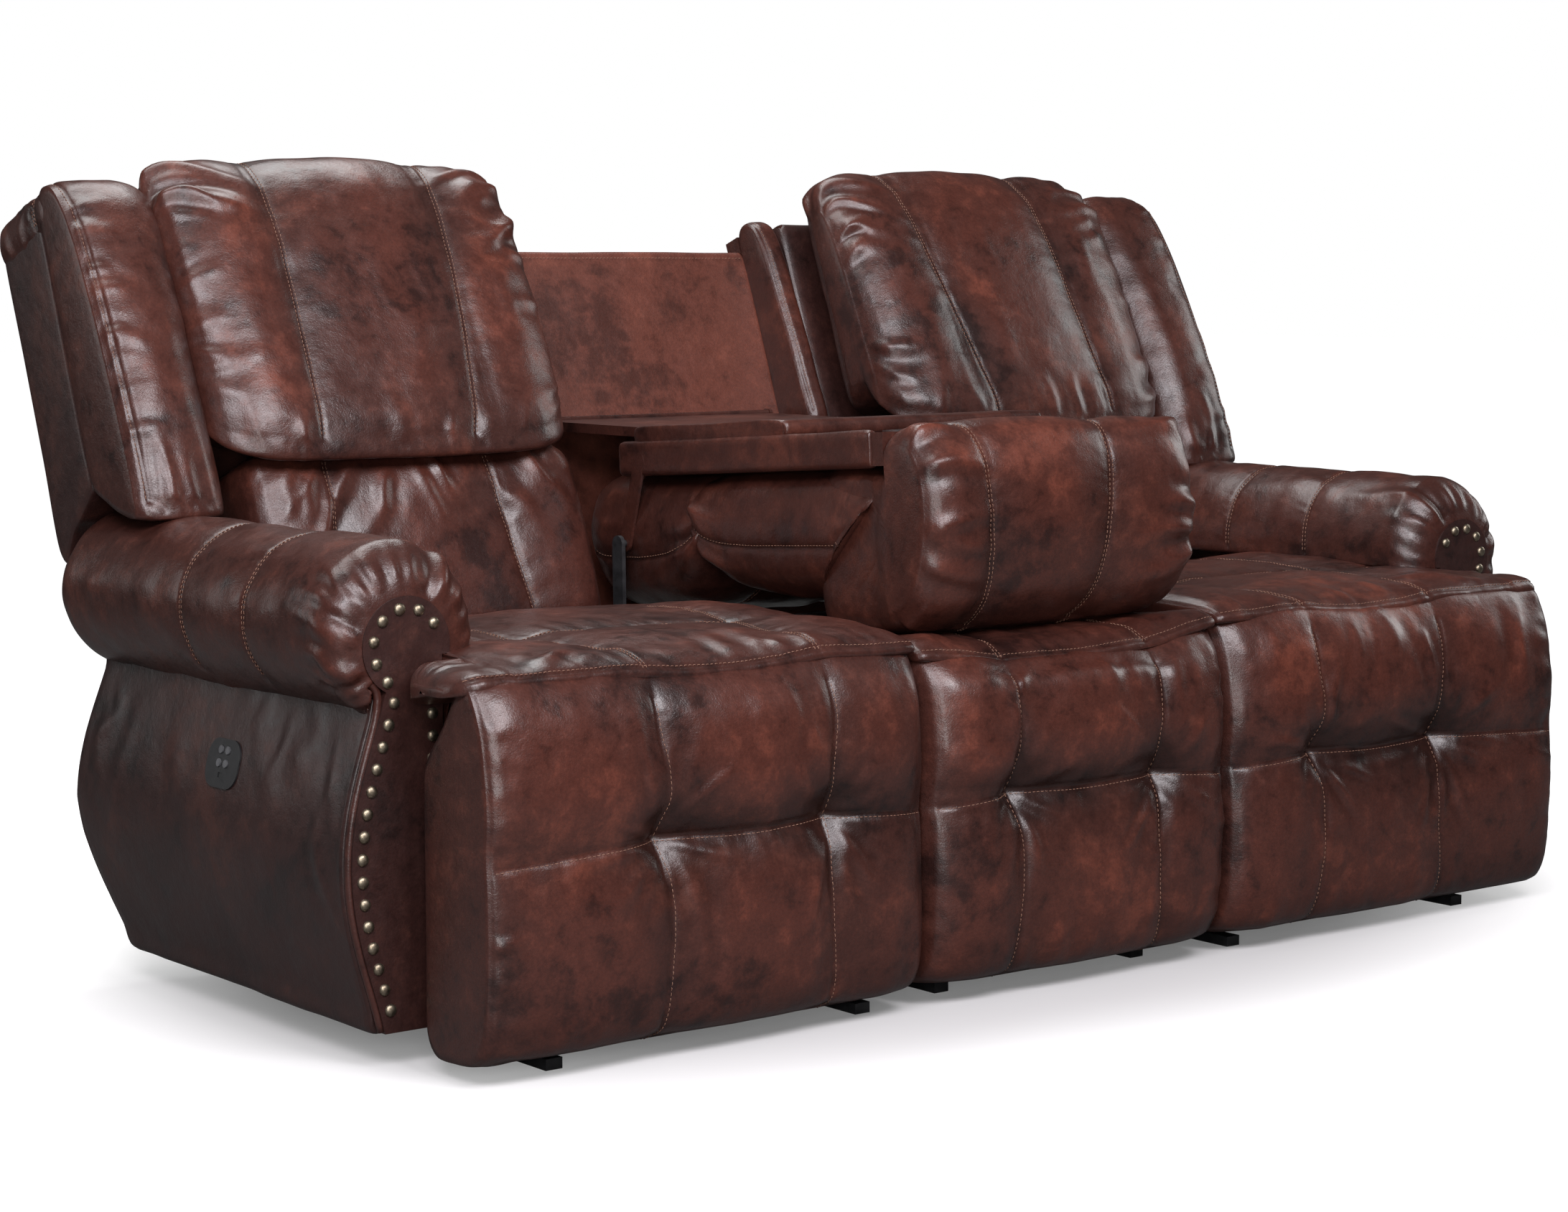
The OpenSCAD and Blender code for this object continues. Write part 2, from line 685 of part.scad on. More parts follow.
// Lumbar cushion: an outline of shares between its rear face and its fullest point
lumbar_shares = [
    [0.06, 0.03], [0.4, 0], [0.8, 0.01], [0.985, 0.04], [1, 0.26], [1, 0.58], [1, 0.88], [0.955, 0.985],
    [0.67, 1], [0.42, 0.985], [0.27, 0.95], [0.15, 0.82], [0.055, 0.63], [0, 0.4], [0, 0.22], [0.015, 0.08]
];
lumbar_drop = 14;
lumbar_low = [-back_front - lumbar_t, -lumbar_drop];
lumbar_high = [-back_front, crease_u - tube_r];
lumbar_mid = boxed([[0.6, 0.434]], lumbar_low, lumbar_high)[0];
module lumbar_cushion() color(leather) on_back() soft_form(
    rings(boxed(lumbar_shares, lumbar_low, lumbar_high), lumbar_mid,
        side_in + 6*soft_gap, roll_in - soft_gap, cushion_shares),
    lumbar_mid);

// Wing: the puffed upright that rests over the rear of the arm roll
wing_shares = [
    [0.045, 0.002], [0.5, 0.062], [0.95, 0.12], [1, 0.23], [1, 0.44], [1, 0.65], [1, 0.86], [0.97, 0.97],
    [0.78, 1], [0.57, 0.97], [0.4, 0.86], [0.28, 0.7], [0.17, 0.51], [0.09, 0.32], [0.02, 0.15], [0, 0.06]
];
wing_front = 180;
wing_drop = 92;
wing_low = [-wing_front, crease_u - wing_drop];
wing_high = [-cheek_front, back_len + ply];
wing_mid = boxed([[0.648, 0.479]], wing_low, wing_high)[0];
wing_stations = [
    [0, 0.45, 0.88], [0.04, 0.72, 0.95], [0.15, 0.9, 0.98], [0.4, 1, 1], [0.7, 0.97, 1],
    [0.88, 0.86, 0.98], [0.97, 0.66, 0.95], [1, 0.45, 0.9]
];
module wing() color(leather) on_back() soft_form(
    rings(boxed(wing_shares, wing_low, wing_high), wing_mid,
        arm_inner - soft_gap*2, back_half + piping, wing_stations),
    wing_mid);

// Headrest bracket: a plate behind the pillow, hinged at the crease
lug_reach = 130;
lug_x = [side_in + 6*board, side_out - 7*board];
bracket_t = 4;
bracket_u = crease_u + link_w + slit;
module headrest_bracket() color(steel_grey) on_back() {
    plate_low = -back_front - slit - bracket_t;
    block([lug_x[0] - board, plate_low, bracket_u], [lug_x[1] + board, plate_low + bracket_t, pillow_top - 5*board]);
    for (x = lug_x) {
        block([x - board, -lug_reach - slot_w, bracket_u], [x + board, plate_low + gap, bracket_u + bracket_t]);
        for (side = [-1, 1]) along_x(x + side*(steel + link_gap) - steel/2, x + side*(steel + link_gap) + steel/2)
            union() {
                translate([-lug_reach, crease_u]) circle(slot_w);
                translate([-lug_reach - slot_w, crease_u]) square([2*slot_w, bracket_u - crease_u + gap]);
            }
        rod(x - 2*steel, x + 2*steel, [-lug_reach, crease_u], link_pin_r);
    }
}

// Head pillow: hangs over the top of the lumbar cushion
pillow_shares = [
    [0.24, 0.055], [0.43, 0.136], [0.8, 0.14], [0.97, 0.155], [1, 0.3], [1, 0.51], [1, 0.78], [0.94, 0.955],
    [0.74, 1], [0.5, 0.975], [0.31, 0.87], [0.18, 0.68], [0.1, 0.45], [0.045, 0.24], [0, 0.09], [0.055, 0]
];
pillow_drop = 48;
pillow_rear = back_front + slit + bracket_t;
pillow_low = [-pillow_rear - pillow_t, crease_u - pillow_drop];
pillow_high = [-pillow_rear, pillow_top];
pillow_mid = boxed([[0.529, 0.492]], pillow_low, pillow_high)[0];
pillow_stations = [
    [0, 0.5, 0.8], [0.012, 0.7, 0.9], [0.04, 0.88, 0.96], [0.12, 0.97, 0.99], [0.26, 1, 1],
    [0.285, 0.97, 0.985], [0.31, 1, 1], [0.5, 1, 1], [0.69, 1, 1], [0.715, 0.97, 0.985],
    [0.74, 1, 1], [0.88, 0.97, 0.99], [0.96, 0.88, 0.96], [0.988, 0.7, 0.9], [1, 0.5, 0.8]
];
module head_pillow() color(leather) on_back() soft_form(
    rings(boxed(pillow_shares, pillow_low, pillow_high), pillow_mid,
        side_in + 8*soft_gap, side_out - 2*soft_gap, pillow_stations),
    pillow_mid);

// Footrest

board_t = 12;
board_low = 60;
board_top = 372;
module footrest_board() color(timber) {
    block([side_in + board, -pad_behind, board_low], [side_out - board, -pad_behind + board_t, board_top]);
    for (x = strap_x) along_x(x + steel/2 + gap, x + steel*1.5) foot_strap_2d();
    for (x = [lug_in(), lug_out()]) along_x(x, x + link_t) difference() {
        bar_2d([-pad_behind + board_t - slit, lug_z - link_w], [lug_y, lug_z], link_w);
        translate([-pad_behind - 2*link_w, lug_z - 4*link_w]) square([2*link_w + gap, 6*link_w]);
        translate([lug_y, lug_z]) circle(link_pin_r + pin_fit);
    }
}

// Planes of the parts on the linkage pins, stacked beside each carriage plate
function crank_in() = rail_in + steel/2 + link_gap;
function rod_in() = crank_in() + link_t + link_gap;
function lug_in() = rod_in() + link_t + link_gap;
function crank_out() = rail_out - steel/2 - link_gap - link_t;
function rod_out() = crank_out() - link_gap - link_t;
function lug_out() = rod_out() - link_gap - link_t;

foot_strap_angle = -47;
module foot_strap_2d() {
    end_y = -pad_behind + board_t/2;
    run = (end_y - foot_y)/cos(foot_strap_angle);
    corner = [end_y, foot_z + run*sin(foot_strap_angle)];
    difference() {
        union() {
            bar_2d([foot_y, foot_z], corner, strap_half);
            translate([foot_y, foot_z]) circle(eye_r);
            translate([end_y - strap_half, board_top - gap]) square([2*strap_half, corner.y - board_top + gap]);
        }
        translate([foot_y, foot_z]) circle(link_pin_r/2 + pin_fit);
    }
}

// Front pad seen from the side, as shares from its front bulge to its rear face
pad_shares = [
    [0.32, 0.01], [0.6, 0], [0.86, 0.005], [0.985, 0.05], [1, 0.22], [1, 0.46], [1, 0.68], [0.975, 0.775],
    [0.68, 0.89], [0.41, 0.995], [0.27, 0.99], [0.12, 0.91], [0.03, 0.77], [0.0, 0.66], [0.05, 0.565],
    [0.0, 0.47], [0.02, 0.29], [0.12, 0.12]
];
pad_low = [-pad_reach, pad_clear];
pad_drop = 5;
pad_high = [-pad_behind, foot_z - pad_drop];
pad_mid = [-60, 230];
tuft_back = -100;

// Sewn tufts pull the face of a pad in
tuft_spread = 46;
tuft_first = 167;
function tuft_pull(x, z, tufts) = tuft_depth*max([for (t = tufts)
    exp(-pow((x - t)/tuft_spread, 2) - pow((z - tuft_z)/tuft_spread, 2))]);
function tufted(stack, tufts) = [for (r = stack) [for (p = r)
    p.y < tuft_back ? [p.x, p.y + tuft_pull(p.x, p.z, tufts), p.z] : p]];

// Stations of a pad between its two ends, with more of them beside the tufts
function pad_stations(x0, x1, tufts, in_shares, out_shares) = let (w = x1 - x0) concat(
    in_shares,
    [for (t = tufts, d = [-1, 0, 1]) [(t - x0)/w + d*tuft_spread*0.65/w, d == 0 ? 0.985 : 1, 1]],
    out_shares);

module front_pad() color(leather) {
    tufts = [seat_split + tuft_first, seat_split + tuft_first + tuft_pitch];
    x1 = arm_inner + pad_overlap;
    stack = rings(boxed(pad_shares, pad_low, pad_high), pad_mid, side_in, x1,
        pad_stations(side_in, x1, tufts,
            [[0, 0.66, 0.94], [0.012, 0.8, 0.97], [0.05, 0.92, 0.99], [0.12, 0.98, 1]],
            [[0.82, 0.99, 1], [0.91, 0.95, 0.99], [0.955, 0.85, 0.97], [0.985, 0.7, 0.94], [1, 0.5, 0.88]]));
    soft_form(tufted(stack, tufts), pad_mid);
}

// Links of the footrest; each node holds the pair on both edges of the seat
module link_2d(a, b) difference() {
    bar_2d(a, b, slot_w);
    translate(a) circle(link_pin_r + pin_fit);
    translate(b) circle(link_pin_r + pin_fit);
}

module link_a() color(steel_grey) for (x = [crank_in(), crank_out()])
    along_x(x, x + link_t) link_2d([crank_y, crank_z], [mid_y, mid_z]);

module link_b() color(steel_grey) for (x = [rod_in(), rod_out()]) {
    along_x(x, x + link_t) difference() {
        bar_2d([mid_y, mid_z], [lug_y, lug_z], slot_w);
        translate([lug_y, lug_z]) circle(link_pin_r + pin_fit);
    }
    away = x < drive_x ? -1 : 1;
    rod(min(x, x + away*(link_t + 2*link_gap)), max(x, x + away*(link_t + 2*link_gap)) + link_t,
        [mid_y, mid_z], link_pin_r);
}

// Shared frame

post_side = 7;
post_in = tray_half + post_side;
post_w = 36;
panel_low = 300;
panel_high = 620;
rear_rail_top = rear_rail.z;
front_rail = [0, 25, 100];
module base_rails() color(leather_dark) {
    // Front board, raised beside each arm and under the centre seat
    block([-arm_inner, front_rail.x, skirt_z], [arm_inner, front_rail.y, front_rail.z]);
    for (side = [-1, 1]) on_side(side) {
        block([rail_out + rail_w + soft_gap, front_rail.x, front_rail.z - gap],
            [arm_inner, front_rail.y, box_bottom - 5*soft_gap]);
        // Rear post of the fixed centre panel, and the bearer between it and the seat box
        post();
        block([centre_half - board, box_rear - box_wall, box_bottom - board], [centre_half, hinge_y, box_bottom]);
        // Uprights that carry the centre seat box
        block([leg_x, front_rail.x, front_rail.z - gap], [leg_x + rail_w, front_rail.y, box_bottom - board + gap]);
    }
    block([-centre_half, front_rail.x, box_bottom - board], [centre_half, box_front + box_wall, box_bottom]);
    block([-arm_inner, rear_rail.x, rear_rail.y], [arm_inner, rear_rail.x + front_rail.y, rear_rail.z]);
    // Board behind the centre front pad
    block([-centre_half + 2*board, -pad_behind, board_low],
        [centre_half - 2*board, front_rail.x + gap, board_top - 3*board]);
}

module post() {
    intersection() {
        on_back() block([post_in, panel_front, -2*roll_r - 3*board], [post_in + post_w, post_rear, back_len]);
        block([post_in - overrun, rear_rail.x, rear_rail.y], [post_in + post_w + overrun, rear_reach + roll_r, rear_reach*1.2]);
    }
}

module centre_seat_box() color(timber) seat_frame(-centre_half + soft_gap, centre_half - soft_gap);

centre_dip = 34;
module centre_seat_cushion() color(leather) soft_form(
    rings(cushion_outline(seat_crown, centre_dip, seat_depth), cushion_mid, -centre_half, centre_half, cushion_shares),
    cushion_mid);

module centre_front_pad() color(leather) {
    tufts = [-tuft_pitch/2, tuft_pitch/2];
    ends = [[0, 0.66, 0.94], [0.02, 0.82, 0.97], [0.09, 0.95, 0.99]];
    stack = rings(boxed(pad_shares, pad_low, pad_high), pad_mid, -centre_half, centre_half,
        pad_stations(-centre_half, centre_half, tufts, ends,
            [for (i = [len(ends) - 1:-1:0]) [1 - ends[i].x, ends[i].y, ends[i].z]]));
    soft_form(tufted(stack, tufts), pad_mid);
}

flap_half = tray_half - board;
flap_pin_r = 3;
flap_lug = 6;
module centre_back_panel() color(leather) {
    on_back() block([-post_in, panel_front, panel_low], [post_in, panel_front + ply, panel_high]);
    // Lugs for the pins of the flap
    for (side = [-1, 1]) on_side(side) along_x(flap_half + slit, flap_half + slit + steel) difference() {
        bar_2d([flap_y, flap_z], [flap_y + ply, flap_z], flap_lug);
        translate([flap_y, flap_z]) circle(flap_pin_r + pin_fit);
    }
}

ear_shares = [
    [0.06, 0.005], [0.5, 0], [1, 0.02], [1, 0.3], [1, 0.6], [1, 0.97], [0.85, 1], [0.6, 0.995],
    [0.34, 0.93], [0.2, 0.75], [0.1, 0.45], [0, 0.12]
];
ear_front = 24;
ear_rise = 34;
ear_low = [-ear_front, crease_u + ear_rise];
ear_high = [panel_front, back_len + overrun];
ear_mid = boxed([[0.667, 0.481]], ear_low, ear_high)[0];
ear_stations = [[0, 0.55, 0.96], [0.12, 0.85, 0.99], [0.4, 1, 1], [0.7, 1, 1], [0.92, 0.85, 0.99], [1, 0.55, 0.96]];
module panel_ears() color(leather) for (side = [-1, 1]) on_side(side) on_back() soft_form(
    rings(boxed(ear_shares, ear_low, ear_high), ear_mid, tray_half + overrun, post_in + post_w, ear_stations),
    ear_mid);

// Table

// Brackets that rise behind the centre cushion to the table's hinge pins
bracket_x = tray_half + 3*soft_gap;
bracket_w = link_w + link_gap;
module table_hinges() color(steel_grey) for (side = [-1, 1]) on_side(side) {
    along_x(bracket_x, bracket_x + steel)
        bar_2d([box_rear - board, box_top + bracket_w], [table_y, table_z], bracket_w);
    block([bracket_x - soft_gap, box_rear - 3*board, box_top], [bracket_x + steel + soft_gap, box_rear, box_top + steel]);
    rod(bracket_x - 4*soft_gap, bracket_x + gap, [table_y, table_z], pin_r);
}

tray_arm = 4;
module table_tray() color(leather) {
    on_tray() difference() {
        block([-tray_half, -tray_len, -tray_t], [tray_half, 0, 0]);
        for (side = [-1, 1]) translate([side*cup_pitch/2, -cup_y, -cup_depth - slit])
            cylinder(h = cup_depth + overrun, r = cup_r + cup_wall + gap);
    }
    for (side = [-1, 1]) on_side(side) along_x(tray_half - gap, tray_half + tray_arm) difference() {
        bar_2d([table_y, table_z], [tray_rear_y - 2*board, tray_rear_z - tray_t/2], bracket_w);
        translate([table_y, table_z]) circle(pin_r + pin_fit);
    }
}

cup_inset = 115;
cup_y = tray_len - cup_inset;
cup_wall = 3;
cup_rim = 7;
cup_floor = 3;
module cup_holders() color(plastic) on_tray() for (side = [-1, 1])
    translate([side*cup_pitch/2, -cup_y, 0]) difference() {
        union() {
            translate([0, 0, -cup_depth - slit]) cylinder(h = cup_depth + 2*slit, r = cup_r + cup_wall);
            cylinder(h = cup_floor, r = cup_r + cup_rim);
        }
        translate([0, 0, cup_floor - cup_depth]) cylinder(h = cup_depth + overrun, r = cup_r);
    }

// Padded lid with a rounded front lip and a rear edge bevelled for the flap
lid_len = tray_len - cup_zone;
module table_lid() color(leather) on_tray() along_x(-tray_half + soft_gap, tray_half - soft_gap) {
    polygon([[-lid_len, 0], [-lid_t - soft_gap, 0], [-lid_t*2 - soft_gap, lid_t], [-lid_len, lid_t]]);
    translate([-lid_len, lid_t/2]) circle(lid_t/2);
}

// Flap between the lid and the fixed panel, on two pins at the panel
flap_len = flap_y - tray_rear_y - 3*slit;
flap_t = 14;
flap_rear = 8;
module hinge_flap() color(leather) translate([0, flap_y, flap_z]) {
    along_x(-flap_half, flap_half) {
        polygon([[-flap_len - flap_t, -flap_t], [-flap_rear, -flap_t], [0, -flap_lug],
            [0, 0], [-flap_len - flap_t*2, 0]]);
        circle(flap_lug - slit);
    }
    rod(-flap_half - slit - steel, flap_half + slit + steel, [0, 0], flap_pin_r);
}

// Lumbar cushion of the folded centre back, hanging under the tray
table_lumbar_shares = [
    [0.017, 0.218], [0.115, 0.155], [0.205, 0.136], [0.314, 0.184], [0.409, 0.316], [0.472, 0.379],
    [0.535, 0.291], [0.627, 0.087], [0.744, 0.01], [0.87, 0], [0.954, 0.17], [0.992, 0.437], [1, 0.728],
    [0.971, 0.913], [0.85, 0.99], [0.79, 1], [0.39, 1], [0.017, 0.99], [0, 0.777], [0, 0.437]
];
pillow_behind = 193;
lumbar_gap = 7;
lumbar_ahead = tray_len - pillow_behind - lumbar_gap;
lumbar_behind = 92;
lumbar_hang = 250;
table_lumbar_low = [-lumbar_ahead, -lumbar_hang];
table_lumbar_high = [lumbar_behind, -tray_t];
table_lumbar_mid = boxed([[0.47, 0.69]], table_lumbar_low, table_lumbar_high)[0];
module table_lumbar_cushion() color(leather) on_tray() soft_form(
    rings(boxed(table_lumbar_shares, table_lumbar_low, table_lumbar_high), table_lumbar_mid,
        -tray_half + 2*soft_gap, tray_half - 2*soft_gap, cushion_shares),
    table_lumbar_mid);

// Head pillow of the folded centre back, wrapped round the front end of the tray
step_y = -tray_len;
pillow_ahead = 101;
pillow_depth = 272;
pillow_rise = 11;
table_pillow_low = [step_y - pillow_ahead, -pillow_depth];
table_pillow_high = [step_y + pillow_behind, pillow_rise];
step_z = -tray_t;
step_back = 85;
step_rise = 2;
table_pillow_mid = [step_y, -pillow_depth*0.48];
table_pillow_shares = [
    [0.3, 0.035], [0.576, 0.0], [0.81, 0.013], [0.963, 0.055], [1, 0.235], [0.985, 0.516], [0.93, 0.775]
];
table_pillow_front_shares = [
    [0.237, 1], [0.105, 0.955], [0.02, 0.8], [0, 0.587], [0.034, 0.375], [0.122, 0.17]
];
module table_pillow() color(leather) on_tray() {
    outline = concat(
        boxed(table_pillow_shares, table_pillow_low, table_pillow_high),
        [[step_y + step_back, step_z], [step_y, step_z], [step_y, step_rise]],
        boxed(table_pillow_front_shares, table_pillow_low, table_pillow_high));
    soft_form(rings(outline, table_pillow_mid, -tray_half, tray_half, pillow_stations),
        table_pillow_mid - [tube_r, 0]);
}

placed() on_side(-1) arm_shell();  // left_arm_shell
placed() on_side(-1) arm_roll();  // left_arm_roll
placed() on_side(-1) arm_front();  // left_arm_front
placed() on_side(-1) switch_plate();  // left_switch_plate
placed() on_side(-1) button(0);  // left_button_a
placed() on_side(-1) button(1);  // left_button_b
placed() on_side(-1) button(2);  // left_button_c
placed() on_side(-1) button(3);  // left_button_d
placed() on_side(-1) mech_base();  // left_mech_base
placed() on_side(-1) actuator();  // left_actuator
placed() on_side(-1) seat_carriage();  // left_seat_carriage
placed() on_side(-1) seat_box();  // left_seat_box
placed() on_side(-1) seat_springs();  // left_seat_springs
placed() on_side(-1) seat_cushion();  // left_seat_cushion
placed() on_side(-1) back_frame();  // left_back_frame
placed() on_side(-1) lumbar_cushion();  // left_lumbar_cushion
placed() on_side(-1) wing();  // left_wing
placed() on_side(-1) headrest_bracket();  // left_headrest_bracket
placed() on_side(-1) head_pillow();  // left_head_pillow
placed() on_side(-1) footrest_board();  // left_footrest_board
placed() on_side(-1) front_pad();  // left_front_pad
placed() on_side(-1) link_a();  // left_link_a
placed() on_side(-1) link_b();  // left_link_b
placed() on_side(1) arm_shell();  // right_arm_shell
placed() on_side(1) arm_roll();  // right_arm_roll
placed() on_side(1) arm_front();  // right_arm_front
placed() on_side(1) switch_plate();  // right_switch_plate
placed() on_side(1) button(0);  // right_button_a
placed() on_side(1) button(1);  // right_button_b
placed() on_side(1) button(2);  // right_button_c
placed() on_side(1) button(3);  // right_button_d
placed() on_side(1) mech_base();  // right_mech_base
placed() on_side(1) actuator();  // right_actuator
placed() on_side(1) seat_carriage();  // right_seat_carriage
placed() on_side(1) seat_box();  // right_seat_box
placed() on_side(1) seat_springs();  // right_seat_springs
placed() on_side(1) seat_cushion();  // right_seat_cushion
placed() on_side(1) back_frame();  // right_back_frame
placed() on_side(1) lumbar_cushion();  // right_lumbar_cushion
placed() on_side(1) wing();  // right_wing
placed() on_side(1) headrest_bracket();  // right_headrest_bracket
placed() on_side(1) head_pillow();  // right_head_pillow
placed() on_side(1) footrest_board();  // right_footrest_board
placed() on_side(1) front_pad();  // right_front_pad
placed() on_side(1) link_a();  // right_link_a
placed() on_side(1) link_b();  // right_link_b
placed() nailheads();
placed() base_rails();
placed() centre_seat_box();
placed() centre_seat_cushion();
placed() centre_front_pad();
placed() centre_back_panel();
placed() panel_ears();
placed() table_hinges();
placed() table_tray();
placed() table_lid();
placed() hinge_flap();
placed() cup_holders();
placed() table_lumbar_cushion();
placed() table_pillow();
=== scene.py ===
import math
import bpy
import numpy as np
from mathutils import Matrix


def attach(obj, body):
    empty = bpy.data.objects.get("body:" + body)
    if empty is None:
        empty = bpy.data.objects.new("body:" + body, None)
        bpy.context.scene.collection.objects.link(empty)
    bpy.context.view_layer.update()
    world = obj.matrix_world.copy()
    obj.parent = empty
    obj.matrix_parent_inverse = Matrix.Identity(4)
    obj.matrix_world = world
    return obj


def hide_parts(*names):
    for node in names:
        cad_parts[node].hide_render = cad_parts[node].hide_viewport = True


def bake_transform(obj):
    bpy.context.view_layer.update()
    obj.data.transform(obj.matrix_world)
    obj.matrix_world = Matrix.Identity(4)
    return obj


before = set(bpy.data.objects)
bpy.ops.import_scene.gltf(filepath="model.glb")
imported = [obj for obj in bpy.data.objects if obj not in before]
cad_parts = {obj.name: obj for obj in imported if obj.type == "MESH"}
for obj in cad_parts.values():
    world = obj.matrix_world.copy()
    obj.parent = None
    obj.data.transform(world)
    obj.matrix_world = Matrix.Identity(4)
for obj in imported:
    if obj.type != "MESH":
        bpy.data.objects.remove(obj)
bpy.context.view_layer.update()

# Places are in millimetres in the source's own frame: y from the front of the arms, z from the floor
MM = 0.001
ORIGIN_Y = 379.11
SIDES = {"left": -1, "right": 1}

SIDE_IN, SIDE_OUT, CENTRE_HALF = 275.0, 892.0, 267.0
ARM_INNER, ARM_DEPTH = 896.0, 715.0
SKIRT_Z, SEAM_Z, CROWN = 46.0, 480.0, 11.0
NOSE, FOOT_Z, FOOT_Y = 136.0, 474.0, -128.0
ROLL_X, ROLL_Z, ROLL_R = 938.5, 524.0, 107.0
ROSE_X, ROSE_Z, ROSE_R = 945.0, 507.0, 60.0
NECK_Z, NECK_W, FOOT_W, BULGE = 450.0, 80.0, 85.0, 45.0
PIPING = 6.0
BACK_TILT = math.radians(21)
HINGE_Y, HINGE_Z = 660.0, 400.0
BACK_HALF = 1008.0
TRAY_TILT = math.radians(4)
TRAY_Y, TRAY_Z, TRAY_HALF, TRAY_T, LID_T = 554.0, 698.0, 240.0, 44.0, 20.0
TUFT_Z = 274.0
TUFTS_SIDE = (438.0, 700.0)
TUFTS_CENTRE = (-131.0, 131.0)
# Where these begin and end across the sofa
SIDE_PAD_RUN, LUMBAR_RUN, PILLOW_RUN = (SIDE_IN - 1, 949), (298, 829), (303, 878)
CENTRE_RUN = (-CENTRE_HALF - 1, CENTRE_HALF + 1)
SEAT_REAR = 480.0


# Small tools

def grain(u, v, seed):
    """Smooth random values from -1 to 1; one cell is one unit."""
    table = np.random.default_rng(seed).uniform(-1, 1, (97, 89))
    i, j = np.floor(u).astype(int), np.floor(v).astype(int)
    f, g = u - i, v - j
    f, g = f*f*(3 - 2*f), g*g*(3 - 2*g)
    a = table[i % 97, j % 89]*(1 - f) + table[(i + 1) % 97, j % 89]*f
    b = table[i % 97, (j + 1) % 89]*(1 - f) + table[(i + 1) % 97, (j + 1) % 89]*f
    return a*(1 - g) + b*g


def ripple(w, wave, seed):
    """An uneven wave along one direction, from about -1 to 1."""
    zero = np.zeros_like(w)
    return 0.75*grain(2*w/wave, zero, seed) + 0.35*grain(4.3*w/wave, zero, seed + 1)


def spline(points, u, closed):
    """Centripetal curve through the points, at places u counted in points."""
    p = np.asarray(points, float)
    n = len(p)
    if not closed:
        p = np.vstack([2*p[0] - p[1], p, 2*p[-1] - p[-2]])
    seg = np.floor(u).astype(int)
    if not closed:
        seg = np.clip(seg, 0, n - 2)
    f = (u - seg)[:, None]
    def pick(k):
        return p[(seg + k) % n] if closed else p[seg + k + 1]
    p0, p1, p2, p3 = pick(-1), pick(0), pick(1), pick(2)
    def gap(a, b):
        return np.maximum(np.linalg.norm(b - a, axis=1, keepdims=True), 1e-6)**0.5
    t0 = np.zeros_like(f)
    t1 = t0 + gap(p0, p1)
    t2 = t1 + gap(p1, p2)
    t3 = t2 + gap(p2, p3)
    t = t1 + (t2 - t1)*f
    a1 = (t1 - t)/(t1 - t0)*p0 + (t - t0)/(t1 - t0)*p1
    a2 = (t2 - t)/(t2 - t1)*p1 + (t - t1)/(t2 - t1)*p2
    a3 = (t3 - t)/(t3 - t2)*p2 + (t - t2)/(t3 - t2)*p3
    b1 = (t2 - t)/(t2 - t0)*a1 + (t - t0)/(t2 - t0)*a2
    b2 = (t3 - t)/(t3 - t1)*a2 + (t - t1)/(t3 - t1)*a3
    return (t2 - t)/(t2 - t1)*b1 + (t - t1)/(t2 - t1)*b2


def gentle(x, xs, ys):
    """A smooth curve through the places that never overshoots them."""
    h = np.diff(xs)
    d = np.diff(ys)/h
    m = np.zeros_like(ys)
    same = d[:-1]*d[1:] > 0
    m[1:-1][same] = 2*d[:-1][same]*d[1:][same]/(d[:-1][same] + d[1:][same])
    m[0], m[-1] = d[0], d[-1]
    k = np.clip(np.searchsorted(xs, x) - 1, 0, len(h) - 1)
    t = (x - xs[k])/h[k]
    a, b = ys[k], ys[k + 1]
    return (a*(1 + 2*t)*(1 - t)**2 + m[k]*h[k]*t*(1 - t)**2 + b*t*t*(3 - 2*t) + m[k + 1]*h[k]*t*t*(t - 1))


def boxed(shares, low, high):
    return [[low[0] + s[0]*(high[0] - low[0]), low[1] + s[1]*(high[1] - low[1])] for s in shares]


def leaning(p, tilt, y, z):
    """Turns rearward and upward distances on a leaning board into places on the sofa."""
    c, s = math.cos(tilt), math.sin(tilt)
    return np.stack([p[..., 0], y + p[..., 1]*c + p[..., 2]*s, z - p[..., 1]*s + p[..., 2]*c], -1)


def on_back(p):
    return leaning(p, BACK_TILT, HINGE_Y, HINGE_Z)


def on_tray(p):
    return leaning(p, TRAY_TILT, TRAY_Y, TRAY_Z)


def as_is(p):
    return p


def along_y(p):
    """For forms that run from front to rear: the run is y, the outline is x and z."""
    return np.stack([p[..., 1], p[..., 0], p[..., 2]], -1)


def both_ends(half):
    """Completes a table whose second half mirrors its first."""
    return half + [[1 - s[0], *s[1:]] for s in half[::-1] if s[0] != 0.5]


def ring_quads(rings, per_ring):
    """The faces between closed rings of points that follow one another."""
    i, j = np.meshgrid(np.arange(rings - 1), np.arange(per_ring), indexing="ij")
    a, b = i*per_ring + j, i*per_ring + (j + 1) % per_ring
    return np.stack([a, b, b + per_ring, a + per_ring], -1).reshape(-1, 4)


def length_along(path):
    return np.concatenate([[0], np.cumsum(np.linalg.norm(np.diff(path, axis=0), axis=1))])


def unit(v):
    return v/np.maximum(np.linalg.norm(v, axis=-1, keepdims=True), 1e-12)


